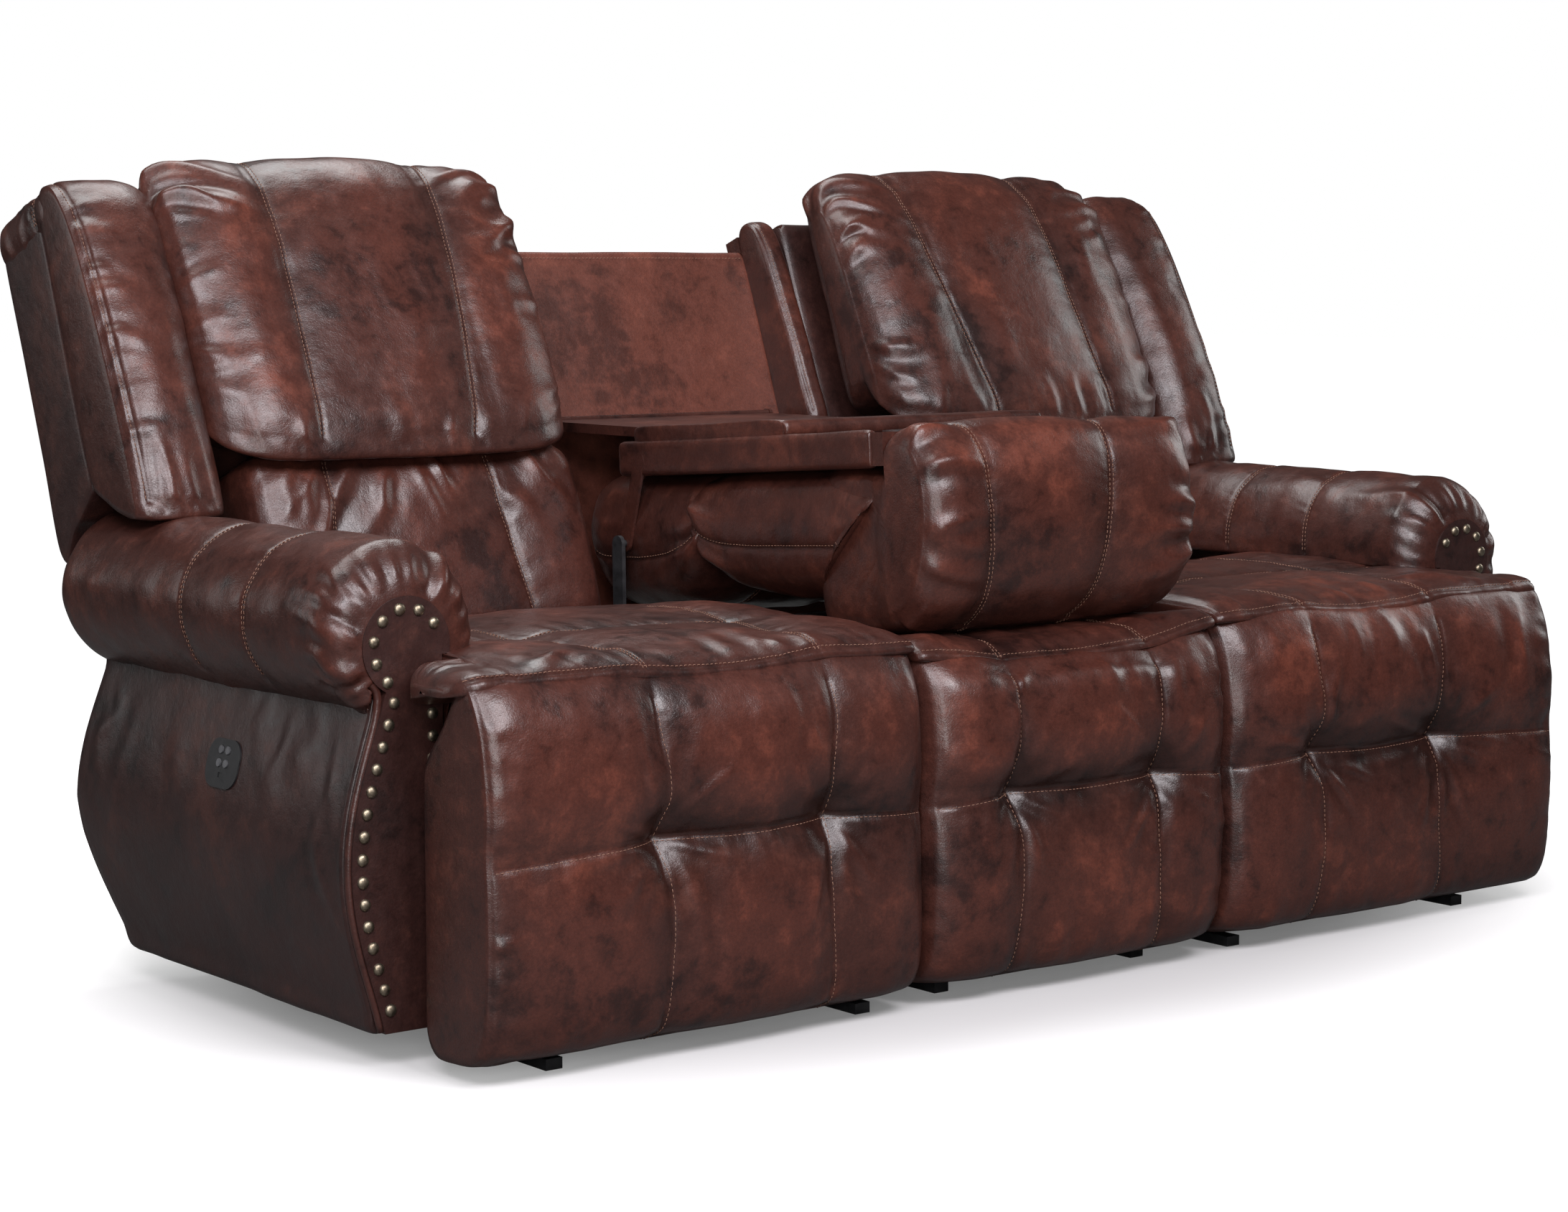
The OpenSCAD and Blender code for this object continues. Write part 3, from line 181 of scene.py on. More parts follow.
def add_mesh(name, verts, faces, body, mat="leather", side=1, replaces=(), values=None,
        bend=None):
    """Makes an object from points in millimetres and puts it on its body; with a bend given, it leaves the
    object on no body.
    """
    v = np.asarray(verts, float).reshape(-1, 3).copy()
    v[:, 0] *= side
    v[:, 1] -= ORIGIN_Y
    mesh = bpy.data.meshes.new(name)
    mesh.from_pydata((v*MM).tolist(), [], faces)
    mesh.validate()
    mesh.polygons.foreach_set("use_smooth", np.full(len(mesh.polygons), True))
    if values is not None:
        # The fold value per point: the leather shows it as painted shade in grooves and paler wear on
        # ridges
        mesh.attributes.new("fold", "FLOAT", "POINT").data.foreach_set("value", values.astype(np.float32))
    mesh.materials.append(MATS[mat])
    obj = bpy.data.objects.new(name, mesh)
    bpy.context.scene.collection.objects.link(obj)
    if bend:
        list(bend)
        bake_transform(obj)
    else:
        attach(obj, body)
    if replaces:
        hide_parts(*replaces)
    return obj


# Soft forms

class Form:
    """A closed padded form: an outline carried along a run and drawn in at both ends."""

    def __init__(self, name, body, outline, mid, run, place, side=1, replaces=(), step=4.0, stations=None,
            seen=None, outline_end=None, morph=None, bulge=2.5, fill=0.8, mat="leather", shape=None,
            rise_ends=18.0):
        self.name, self.body, self.side, self.place = name, body, side, place
        self.replaced, self.fill, self.mat = replaces, fill, mat
        self.seed = sum(ord(ch)*(k + 1) for k, ch in enumerate(name)) % 9973
        n = len(outline)
        fine = np.linspace(0, n, 4001)[:-1]
        loop = spline(outline, fine, True)
        nxt = np.roll(loop, -1, axis=0)
        length = np.linalg.norm(nxt - loop, axis=1)
        turn = nxt - loop
        area = np.sum(loop[:, 0]*nxt[:, 1] - nxt[:, 0]*loop[:, 1])
        normal = np.stack([turn[:, 1], -turn[:, 0]], 1)*np.sign(area)/np.maximum(length, 1e-9)[:, None]
        weight = length*(1.0 if seen is None else np.where(seen(loop, normal), 1.0, 0.4))
        total = np.concatenate([[0], np.cumsum(weight)])
        count = max(24, int(total[-1]/step))
        u = np.interp(np.arange(count)*total[-1]/count, total, np.append(fine, n))
        arc = np.concatenate([[0], np.cumsum(length)])
        self.q = np.interp(u, np.append(fine, n), arc)
        self.q_total = arc[-1]
        self.loop = spline(outline, u, True)
        loop_end = self.loop if outline_end is None else spline(outline_end, u, True)
        x0, x1 = run
        stations = np.array(stations or [[0, 1, 1], [1, 1, 1]], float)
        gaps, place_x = [], 0.0
        half = (x1 - x0)/2
        while place_x < half:
            gaps.append(place_x)
            place_x += min(step, 0.7 + 0.14*place_x)
        near = np.array(gaps)*half/max(place_x, 1)
        middle = np.concatenate([x0 + near, [x0 + half], (x1 - near)[::-1]])
        share = (middle - x0)/(x1 - x0)
        cap = np.radians([18, 34, 50, 64, 76, 84])
        self.x = np.concatenate([(x0 - bulge*np.sin(cap))[::-1], middle, x1 + bulge*np.sin(cap)])
        drawn = [gentle(share, stations[:, 0], stations[:, column]) for column in (1, 2)]
        drawn = [np.concatenate([(d[0]*np.cos(cap))[::-1], d, d[-1]*np.cos(cap)]) for d in drawn]
        share = (self.x - x0)/(x1 - x0)
        blend = np.zeros_like(share)
        if morph is not None:
            blend = np.clip((self.x - morph[0])/(morph[1] - morph[0]), 0, 1)
        blend = (blend*blend*(3 - 2*blend))[:, None, None]
        rings = self.loop[None]*(1 - blend) + loop_end[None]*blend
        mid = np.asarray(mid, float)
        plane = mid + (rings - mid)*np.stack(drawn, 1)[:, None, :]
        self.mid = mid
        along = np.broadcast_to(self.x[:, None, None], plane.shape[:2] + (1,))
        self.local = np.concatenate([along, plane], 2)
        if shape is not None:
            self.local = shape(self.local, self.q, share)
        self.rise = np.zeros(plane.shape[:2])
        near = np.minimum(self.x - x0, x1 - self.x)
        self.fade = np.clip(near/rise_ends, 0, 1)[:, None]
        self.stitches = []
        self.bend = None

    def at(self, a, b):
        """The place along the outline nearest to a point of its plane."""
        return self.q[np.argmin((self.loop[:, 0] - a)**2 + (self.loop[:, 1] - b)**2)]

    def line(self, points, count=40):
        """A smooth line over the surface through places given as run and outline position."""
        pts = np.asarray(points, float)
        return spline(pts, np.linspace(0, len(pts) - 1, count)*0.999999, False)

    def near(self, line, reach):
        """The cells round a line, their distance from it, its side and how far along it they lie."""
        i = np.where((self.x > line[:, 0].min() - reach) & (self.x < line[:, 0].max() + reach))[0]
        j = np.where((self.q > line[:, 1].min() - reach) & (self.q < line[:, 1].max() + reach))[0]
        x, q = self.x[i][:, None], self.q[j][None, :]
        best = np.full((len(i), len(j)), 1e9)
        signed, along, start = np.zeros_like(best), np.zeros_like(best), 0.0
        for a, b in zip(line[:-1], line[1:]):
            run = b - a
            size = max(np.hypot(*run), 1e-9)
            f = np.clip(((x - a[0])*run[0] + (q - a[1])*run[1])/size**2, 0, 1)
            dx, dq = x - a[0] - f*run[0], q - a[1] - f*run[1]
            dist = np.hypot(dx, dq)
            closer = dist < best
            best = np.where(closer, dist, best)
            signed = np.where(closer, np.sign(run[0]*dq - run[1]*dx)*dist, signed)
            along = np.where(closer, start + f*size, along)
            start += size
        return np.ix_(i, j), best, signed, along, start

    def valley(self, line, depth, width, sharp, depth_at=None):
        cells, dist, _, along, total = self.near(line, 5*width)
        level = depth if depth_at is None else depth*depth_at(along/total)
        self.rise[cells] -= level*np.exp(-(dist/width)**sharp)

    def pucker(self, line, height, reach, wave):
        """Short wrinkles that cross a line."""
        cells, dist, signed, along, _ = self.near(line, 4*reach)
        self.seed += 7
        wavy = ripple(along + 0.25*signed, wave, self.seed)
        self.rise[cells] += height*wavy*np.exp(-dist/reach)*(1 - np.exp(-(dist/5)**2))

    def fold(self, points, width, height, from_edge=False):
        """A soft ridge along a line with a groove beside it."""
        cells, dist, signed, along, total = self.near(self.line(points, 14), 5*width)
        share = np.clip(along/total, 0, 1)
        taper = np.clip(np.sin(np.pi*share*0.96 + 0.05)**0.8, 0, 1)
        if from_edge:
            taper = np.cos(np.pi/2*share)**0.9
        ridge = np.exp(-(dist/width)**2) - 0.55*np.exp(-((signed - 1.9*width)/(1.2*width))**2)
        self.rise[cells] += height*taper*ridge

    def seam(self, points, depth=3.0, width=3.2, pull=0.0, pull_width=34.0, pull_at=None, pucker=0.0,
            reach=24.0, wave=24.0, rows=(-2.7, 2.7), count=48):
        """A sewn seam: a groove in a soft valley, short wrinkles across it and rows of stitches."""
        line = self.line(points, count)
        if pull:
            self.valley(line, pull, pull_width, 1.15, pull_at)
        if pucker:
            self.pucker(line, pucker, reach, wave)
        self.valley(line, depth, width, 1.6)
        self.stitches.append((line, rows))

    def tuft(self, x, q, depth, spread, rays, reach, height, width):
        """A buttonless tuft: a dimple with folds that radiate from it."""
        rng = np.random.default_rng(self.seed + int(x*7) + 5)
        dist = np.hypot(self.x[:, None] - x, self.q[None] - q)
        self.rise -= depth*np.exp(-(dist/spread)**1.3)
        for k in range(rays):
            a = 2*math.pi*(k + rng.uniform(-0.3, 0.3))/rays
            r = rng.uniform(*reach)
            bend = rng.uniform(-0.25, 0.25)
            pts = [[x + s*r*math.cos(a + bend*s), q + s*r*math.sin(a + bend*s)] for s in (0.08, 0.45, 0.8,
                1.1)]
            self.fold(pts, rng.uniform(*width), height*rng.uniform(0.5, 1.1))

    def loose(self, height, size, stretch=(1.0, 1.0), turn=0.0):
        """Broad soft unevenness over the whole form."""
        self.seed += 11
        x, q = self.x[:, None], self.q[None]
        c, s = math.cos(turn), math.sin(turn)
        u, v = (x*c + q*s)/(size*stretch[0]), (q*c - x*s)/(size*stretch[1])
        edge = np.minimum(self.q, self.q_total - self.q)[None]
        self.rise += height*grain(u, v, self.seed)*np.clip(edge/60, 0, 1)

    def swell(self, x, q, much):
        """A soft swelling between two seams."""
        u = np.clip((self.x - min(x))/abs(x[1] - x[0]), 0, 1)[:, None]
        v = np.clip((self.q - min(q))/abs(q[1] - q[0]), 0, 1)[None]
        self.rise += much*(np.sin(np.pi*u)*np.sin(np.pi*v))**0.6

    def scatter(self, rng, count, x, q, way, length, width, height, spread=0.2, edge=False):
        """Soft folds that start in the ranges x and q and run about the way given."""
        for _ in range(count):
            at = np.array([rng.uniform(*sorted(x)), rng.uniform(*sorted(q))])
            size = rng.uniform(*length)
            run = np.array(way, float) + rng.uniform(-spread, spread, 2)
            bend = rng.uniform(-0.12, 0.12)*size*np.array([-run[1], run[0]])
            self.fold([at, at + run*size*0.5 + bend, at + run*size], rng.uniform(*width),
                rng.uniform(*height), from_edge=edge)

    def normals(self, p):
        along = np.gradient(p, axis=0)
        round_ = (np.roll(p, -1, axis=1) - np.roll(p, 1, axis=1))/2
        n = np.cross(along, round_)
        centre = np.concatenate([p[..., :1], np.broadcast_to(self.mid, p.shape[:2] + (2,))], 2)
        return unit(n)*(-1 if np.sum(unit(n)*(p - centre)) < 0 else 1)

    def make(self, mask=None):
        n = self.normals(self.local)
        rise = self.rise*self.fade
        if mask is not None:
            rise = rise*mask
        p = self.local + n*rise[..., None]
        m, k = p.shape[:2]
        ends = [self.local[0].mean(0), self.local[-1].mean(0)]
        ends[0][1:], ends[1][1:] = self.mid, self.mid
        verts = np.concatenate([p.reshape(-1, 3), np.array(ends)])
        quads = ring_quads(m, k)
        t = np.arange(k)
        first = np.stack([(t + 1) % k, t, np.full(k, m*k)], 1)
        last = np.stack([(m - 1)*k + t, (m - 1)*k + (t + 1) % k, np.full(k, m*k + 1)], 1)
        world = self.place(verts)
        flip = self.side < 0
        tri = np.concatenate([quads[:, [0, 1, 2]], quads[:, [0, 2, 3]], first, last])
        a, b, c = (world[tri[:, n]] - world.mean(0) for n in range(3))
        if np.sum(a*np.cross(b, c)) < 0:
            flip = not flip
        if flip:
            quads, first, last = quads[:, ::-1], first[:, ::-1], last[:, ::-1]
        faces = quads.tolist() + first.tolist() + last.tolist()
        # The fold value: sunken places get painted shade in the leather, raised places paler wear
        fold = np.clip(np.append(rise/6, [0, 0]), -2, 2)
        obj = add_mesh(self.name, world, faces, self.body, self.mat, self.side, self.replaced,
            values=fold, bend=self.bend)
        self.world = self.place(p)
        self.world_n = self.place(p + n) - self.world
        for line, rows in self.stitches:
            self.sew(line, rows)

    def sample(self, x, q):
        """The finished surface and its normal at places given as run and outline position."""
        i = np.interp(x, self.x, np.arange(len(self.x)))
        j = np.interp(q % self.q_total, np.append(self.q, self.q_total), np.arange(len(self.q) + 1))
        i0 = np.clip(np.floor(i).astype(int), 0, len(self.x) - 2)
        j0 = np.floor(j).astype(int) % len(self.q)
        f, g = (i - i0)[:, None], (j - np.floor(j))[:, None]
        j1 = (j0 + 1) % len(self.q)
        def mix(arr):
            this, next_ = (arr[i0, j]*(1 - f) + arr[i0 + 1, j]*f for j in (j0, j1))
            return this*(1 - g) + next_*g
        return mix(self.world), mix(self.world_n)

    def sew(self, line, rows, pitch=6.6, length=4.6):
        """Notes the places of a seam's stitches, in rows beside its line."""
        along = length_along(line)
        for offset in rows:
            w = np.arange(5, along[-1] - 5, pitch)
            def place(at):
                x, q = np.interp(at, along, line[:, 0]), np.interp(at, along, line[:, 1])
                dx = np.interp(at + 1, along, line[:, 0]) - np.interp(at - 1, along, line[:, 0])
                dq = np.interp(at + 1, along, line[:, 1]) - np.interp(at - 1, along, line[:, 1])
                size = np.maximum(np.hypot(dx, dq), 1e-9)
                return x - offset*dq/size, q + offset*dx/size
            ok = (place(w)[0] > self.x[8]) & (place(w)[0] < self.x[-9])
            w = w[ok]
            if not len(w):
                continue
            a, na = self.sample(*place(w))
            b, nb = self.sample(*place(w + length))
            stitch = (a + na*THREAD_LIFT, b + nb*THREAD_LIFT, na, self.side)
            THREADS.setdefault(self.body, []).append(stitch)


# The stitches found for each body, and a thread's radius and lift off the leather
THREADS = {}
THREAD_R, THREAD_LIFT = 0.5, 0.25


def stitch_meshes():
    """Turns the stitches of each body into one mesh of short thread loops."""
    turns = np.radians(np.arange(5)*72)
    arch = [(0.0, 0.55, -0.5), (0.22, 1.0, 0.25), (0.78, 1.0, 0.25), (1.0, 0.55, -0.5)]
    for body, groups in THREADS.items():
        verts, faces, base = [], [], 0
        for a, b, n, side in groups:
            run = unit(b - a)
            across = unit(np.cross(run, n))
            up = np.cross(across, run)
            rings = []
            for share, r, lift in arch:
                c = a + (b - a)*share + up*lift
                rings.append([c + THREAD_R*r*(across*math.cos(t) + up*math.sin(t)) for t in turns])
            pts = np.array(rings).transpose(2, 0, 1, 3).reshape(-1, 3)*[side, 1, 1]
            verts.append(pts)
            firsts = base + np.arange(len(a))*20
            faces.append((ring_quads(4, 5)[:, ::side] + firsts[:, None, None]).reshape(-1, 4))
            base += len(pts)
        add_mesh("stitches_" + body, np.concatenate(verts), np.concatenate(faces).tolist(), body, "thread")


def tube(name, path, radius, body, side):
    """A round welt along a path of points in millimetres."""
    run = unit(np.vstack([path[1:], 2*path[-1] - path[-2]]) - np.vstack([2*path[0] - path[1], path[:-1]]))
    up = np.zeros_like(run)
    ref = np.array([1.0, 0.0, 0.0])
    for i in range(len(path)):
        ref = unit(ref - run[i]*np.dot(ref, run[i]))
        up[i] = ref
    side_way = np.cross(run, up)
    turns = np.radians(np.arange(10)*36)
    rings = np.stack([path + radius*(up*math.cos(t) + side_way*math.sin(t)) for t in turns], 1)
    m, k = rings.shape[:2]
    faces = ring_quads(m, k).tolist() + [list(range(k))[::-1], list(range((m - 1)*k, m*k))]
    add_mesh(name, rings, [f[::-side] for f in faces], body, side=side)


# Materials

# Each material by its name
MATS = {}


def new_tree(owner, kind):
    """Clears the nodes of a material or world and gives it an output of the kind named."""
    owner.use_nodes = True
    owner.node_tree.nodes.clear()
    return owner.node_tree, owner.node_tree.nodes.new("ShaderNodeOutput" + kind)


def new_material(name):
    MATS[name] = bpy.data.materials.new(name)
    return new_tree(MATS[name], "Material")


def node(t, kind, inputs=None, out=0, **attrs):
    """Adds a node, sets or links its inputs and returns one of its outputs."""
    n = t.nodes.new("ShaderNode" + kind)
    for k, v in attrs.items():
        setattr(n, k, v)
    for k, v in (inputs or {}).items():
        if isinstance(v, bpy.types.NodeSocket):
            t.links.new(v, n.inputs[k])
        else:
            n.inputs[k].default_value = v
    return n.outputs[out]


def ramp(t, factor, stops, smooth="LINEAR"):
    n = t.nodes.new("ShaderNodeValToRGB")
    t.links.new(factor, n.inputs[0])
    n.color_ramp.interpolation = smooth
    els = n.color_ramp.elements
    while len(els) < len(stops):
        els.new(0.5)
    for e, (at, colour) in zip(els, stops):
        e.position = at
        e.color = (*colour, 1)
    return n.outputs[0]


def grey(v):
    return (v, v, v)


def noise(t, where, scale, detail, rough=0.5, distortion=0.0):
    return node(t, "TexNoise", {"Vector": where, "Scale": scale, "Detail": detail, "Roughness": rough,
        "Distortion": distortion}, "Fac")


def darken(t, much, colour, tone):
    return node(t, "Mix", {0: much, 6: colour, 7: tone}, 2, data_type="RGBA", blend_type="MULTIPLY")


def bump(t, strength, distance, height, before=None, **attrs):
    inputs = {"Strength": strength, "Distance": distance, "Height": height}
    if before:
        inputs["Normal"] = before
    return node(t, "Bump", inputs, **attrs)


def leather(name, dark, mid, warm, rough, pebble=1.0):
    """Mottled leather: clouds, patches and flecks of colour, with painted shade darkening the folds and
    paler wear on their ridges.
    """
    t, out = new_material(name)
    where = node(t, "TexCoord", out="Object")
    patches = noise(t, where, 34.0, 6.0, 0.66, 0.25)
    mixed = node(t, "Mix", {0: 0.42, 2: noise(t, where, 5.5, 5.0, 0.62, 0.5), 3: patches},
        data_type="FLOAT")
    colour = ramp(t, mixed, [(0.36, dark), (0.5, mid), (0.66, warm)], "EASE")
    flecks = ramp(t, noise(t, where, 260.0, 3.0, 0.6), [(0.35, grey(0.72)), (0.65, grey(1.15))])
    colour = darken(t, 0.55, colour, flecks)
    # Painted shade: the fold value darkens sunken places; raised places turn paler, as wear.
    fold = node(t, "Attribute", out="Fac", attribute_name="fold")
    level = node(t, "Math", {0: fold, 1: 0.25, 2: 0.5}, operation="MULTIPLY_ADD")
    fold_shade_tones = [(0.05, grey(0.35)), (0.42, grey(0.9)), (0.5, grey(1.0)), (0.75, (1.45, 1.3, 1.2))]
    colour = darken(t, 0.9, colour, ramp(t, level, fold_shade_tones))
    cells = node(t, "TexVoronoi", {"Vector": where, "Scale": 430.0, "Smoothness": 0.6}, "Distance",
        feature="SMOOTH_F1")
    stretched = node(t, "Mapping", {"Vector": where, "Scale": (1.0, 1.0, 1.6)})
    creases = node(t, "TexVoronoi", {"Vector": stretched, "Scale": 150.0, "Randomness": 1.0}, "Distance",
        feature="DISTANCE_TO_EDGE")
    creases = ramp(t, creases, [(0.0, grey(0.0)), (0.09, grey(1.0))], "EASE")
    relief = bump(t, 0.35, 0.0022, noise(t, where, 62.0, 3.0))
    relief = bump(t, 0.10*pebble, 0.0006, creases, relief)
    relief = bump(t, 0.30*pebble, 0.00045, cells, relief, invert=True)
    shine = node(t, "MapRange", {"Value": patches, "From Min": 0.3, "From Max": 0.7,
        "To Min": rough - 0.05, "To Max": rough + 0.07})
    shader = node(t, "BsdfPrincipled", {"Base Color": colour, "Normal": relief, "Roughness": shine,
        "Specular IOR Level": 0.5, "Coat Weight": 0.12, "Coat Roughness": 0.3})
    t.links.new(shader, out.inputs[0])


def simple(name, low, high, rough, metal=0.0, scale=40.0, relief=0.0, relief_scale=300.0,
        stretch=(1, 1, 1)):
    """A material between two near tones, with a little relief where one is given."""
    t, out = new_material(name)
    where = node(t, "Mapping", {"Vector": node(t, "TexCoord", out="Object"), "Scale": stretch})
    n = noise(t, where, scale, 5.0, 0.6)
    shine = node(t, "MapRange", {"Value": n, "To Min": rough - 0.08, "To Max": rough + 0.08})
    inputs = {"Base Color": ramp(t, n, [(0.35, low), (0.65, high)]), "Roughness": shine, "Metallic": metal}
    if relief:
        inputs["Normal"] = bump(t, relief, 0.0006, noise(t, where, relief_scale, 2.0))
    t.links.new(node(t, "BsdfPrincipled", inputs), out.inputs[0])


leather("leather", (0.018, 0.0064, 0.0052), (0.047, 0.0146, 0.0104), (0.092, 0.0270, 0.0172), 0.34)
leather("leather_panel", (0.013, 0.0055, 0.0048), (0.028, 0.0098, 0.0080), (0.052, 0.0165, 0.0115), 0.40,
    pebble=0.9)
leather("leather_warm", (0.056, 0.0165, 0.0108), (0.112, 0.0320, 0.0200), (0.165, 0.048, 0.029), 0.46)
simple("thread", (0.15, 0.07, 0.045), (0.26, 0.14, 0.095), 0.65, scale=400.0)
simple("timber", (0.33, 0.20, 0.10), (0.52, 0.35, 0.19), 0.6, scale=9.0, stretch=(1, 1, 14), relief=0.25,
    relief_scale=90.0)
simple("mechanism_steel", (0.012, 0.012, 0.013), (0.026, 0.026, 0.028), 0.42, scale=60.0, relief=0.25,
    relief_scale=700.0)
simple("spring_steel", (0.32, 0.32, 0.33), (0.5, 0.5, 0.51), 0.32, metal=1.0, scale=120.0)
simple("drive_plastic", (0.018, 0.018, 0.02), (0.03, 0.03, 0.032), 0.5, scale=50.0, relief=0.3,
    relief_scale=900.0)
simple("switch_plastic", (0.010, 0.010, 0.011), (0.018, 0.018, 0.019), 0.38, scale=90.0, relief=0.12,
    relief_scale=1200.0)
simple("button_plastic", (0.07, 0.072, 0.077), (0.11, 0.112, 0.118), 0.34, scale=90.0)
simple("nail_brass", (0.19, 0.155, 0.11), (0.36, 0.31, 0.23), 0.42, metal=1.0, scale=130.0)
simple("cup_steel", (0.40, 0.40, 0.41), (0.55, 0.55, 0.56), 0.3, metal=1.0, scale=20.0, stretch=(1, 1, 60))

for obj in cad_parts.values():
    for slot in obj.material_slots:
        base = (slot.material.name if slot.material else "").split(".")[0]
        slot.material = MATS.get(base, MATS["leather"])


# Seats

LIP = 12.0
# Kinds of seams that several forms share
DEEP_SEAM = dict(depth=2.4, pull=5, pull_width=32, pucker=1.4, reach=30, wave=36)
WIDE_SEAM = dict(depth=2.2, pull=4, pull_width=30, pucker=1.6, reach=26)
LOBE_SEAM = dict(depth=2.4, pull_width=26, pucker=1.4, reach=24, wave=34)
SAG_SIDE = np.array([[271.0, 1], [340, 3], [427, 0], [500, 7], [560, 10], [640, 8], [743, 0], [790, 1],
    [870, 0], [965, 0]])
SAG_CENTRE = np.array([[-270.0, 14], [-200, 22], [-108, 32], [0, 34], [142, 26], [220, 12], [270, 4]])


def nose_under(y):
    """The height of the sloping board under the seat's nose."""
    return FOOT_Z + 8.6 - (y - FOOT_Y)*math.tan(math.radians(20))


def cushion_outline(dip):
    top, rear = SEAM_Z + CROWN, SEAT_REAR
    return [[-NOSE - LIP + 1, FOOT_Z - 6], [-NOSE/2, nose_under(-NOSE/2) - 6], [-16, nose_under(-16)],
        [35, nose_under(-16) - 8], [35, 345], [rear/2, 345], [rear - 4, 345], [rear, 412],
        [rear - 4, SEAM_Z - dip - 8], [rear*0.85, SEAM_Z + CROWN*0.4 - dip], [rear*0.6, top - dip + 6],
        [rear*0.3, top - dip + 8], [rear*0.05, top - dip + 5], [-NOSE*0.4, top - dip*0.55 + 3],
        [-NOSE*0.85, SEAM_Z + CROWN*0.9], [-NOSE - LIP*0.8, SEAM_Z]]


def sagging(table, low, high, nose=None):
    """The front edge of a seat hangs a little between its seams, and its outer end is rounded off."""
    def shape(p, q, share):
        out = p.copy()
        ahead = np.clip((-30 - p[..., 1])/100, 0, 1)
        level = np.clip((p[..., 2] - low)/(high - low), 0, 1)
        drop = gentle(np.clip(p[..., 0], table[0, 0], table[-1, 0]), table[:, 0], table[:, 1])
        out[..., 2] -= drop*ahead*level*level*(3 - 2*level)
        if nose:
            past = np.clip((p[..., 0] - nose[0])/(nose[1] - nose[0]), 0, 1)
            draw = np.sqrt(1 - (0.93*past)**2)
            ahead = p[..., 1] < 40
            out[..., 2] = np.where(ahead, 455 + (out[..., 2] - 455)*draw, out[..., 2])
            out[..., 1] = np.where(ahead, -60 + (out[..., 1] + 60)*(0.35 + 0.65*draw), out[..., 1])
        return out
    return shape


NOSE_SHARES = [[-0.09, 0.5], [0.453, 0.3], [0.992, 0], [0.993, 0.08], [0.995, 0.16], [0.997, 0.24],
    [0.998, 0.32], [1, 0.4], [0.992, 0.76], [0.967, 0.9], [0.917, 0.98], [0.793, 1], [0.623, 1],
    [0.453, 0.99], [0.15, 0.98], [-0.07, 0.82]]
PAD_SHARES = [[0.32, 0.01], [0.6, 0], [0.86, 0.005], [0.985, 0.05], [1, 0.22], [1, 0.46], [1, 0.68],
    [0.975, 0.775], [0.68, 0.89], [0.42, 0.995], [0.30, 0.998], [0.12, 0.905], [0.03, 0.77], [0.0, 0.66],
    [0.02, 0.565], [0.0, 0.47], [0.0, 0.27], [0.05, 0.1], [0.15, 0.035]]
CUSHION_ENDS = [[0, 0.86, 0.62], [0.01, 0.93, 0.8], [0.035, 0.97, 0.92], [0.1, 0.99, 0.98], [0.27, 1, 1],
    [0.5, 1, 1], [0.72, 1, 1], [0.9, 0.99, 0.98], [0.965, 0.97, 0.92], [0.99, 0.93, 0.8], [1, 0.86, 0.62]]
SEAT_ENDS = [[0, 0.86, 0.62], [0.009, 0.93, 0.8], [0.031, 0.97, 0.92], [0.09, 0.99, 0.98], [0.25, 1, 1],
    [0.6, 1, 1], [0.9, 1, 1], [0.95, 1, 1], [0.98, 1, 1], [0.993, 1, 1], [1, 1, 1]]
PAD_ENDS_SIDE = [[0, 0.66, 0.94], [0.012, 0.8, 0.97], [0.05, 0.92, 0.99], [0.12, 0.985, 1], [0.3, 1, 1],
    [0.86, 1, 1], [0.94, 0.995, 1], [0.975, 0.975, 1], [0.99, 0.95, 0.997], [1, 0.9, 0.985]]
PAD_ENDS = both_ends([[0, 0.66, 0.94], [0.02, 0.82, 0.97], [0.09, 0.95, 0.99], [0.2, 1, 1]])
PILLOW_ENDS = both_ends([[0, 0.34, 0.7], [0.012, 0.52, 0.79], [0.035, 0.68, 0.87], [0.08, 0.82, 0.93],
    [0.15, 0.93, 0.972], [0.28, 0.99, 0.995], [0.5, 1, 1]])
WING_ENDS = [[0, 0.3, 0.82], [0.03, 0.5, 0.9], [0.09, 0.7, 0.955], [0.2, 0.88, 0.985], [0.4, 0.985, 1],
    [0.62, 1, 1], [0.82, 0.97, 0.998], [0.93, 0.91, 0.985], [1, 0.8, 0.965]]


def seen_front(loop, normal):
    """Where a form's outline faces forward or upward and needs its finest steps."""
    return (normal[:, 0] < 0.35) | (normal[:, 1] > 0.2)


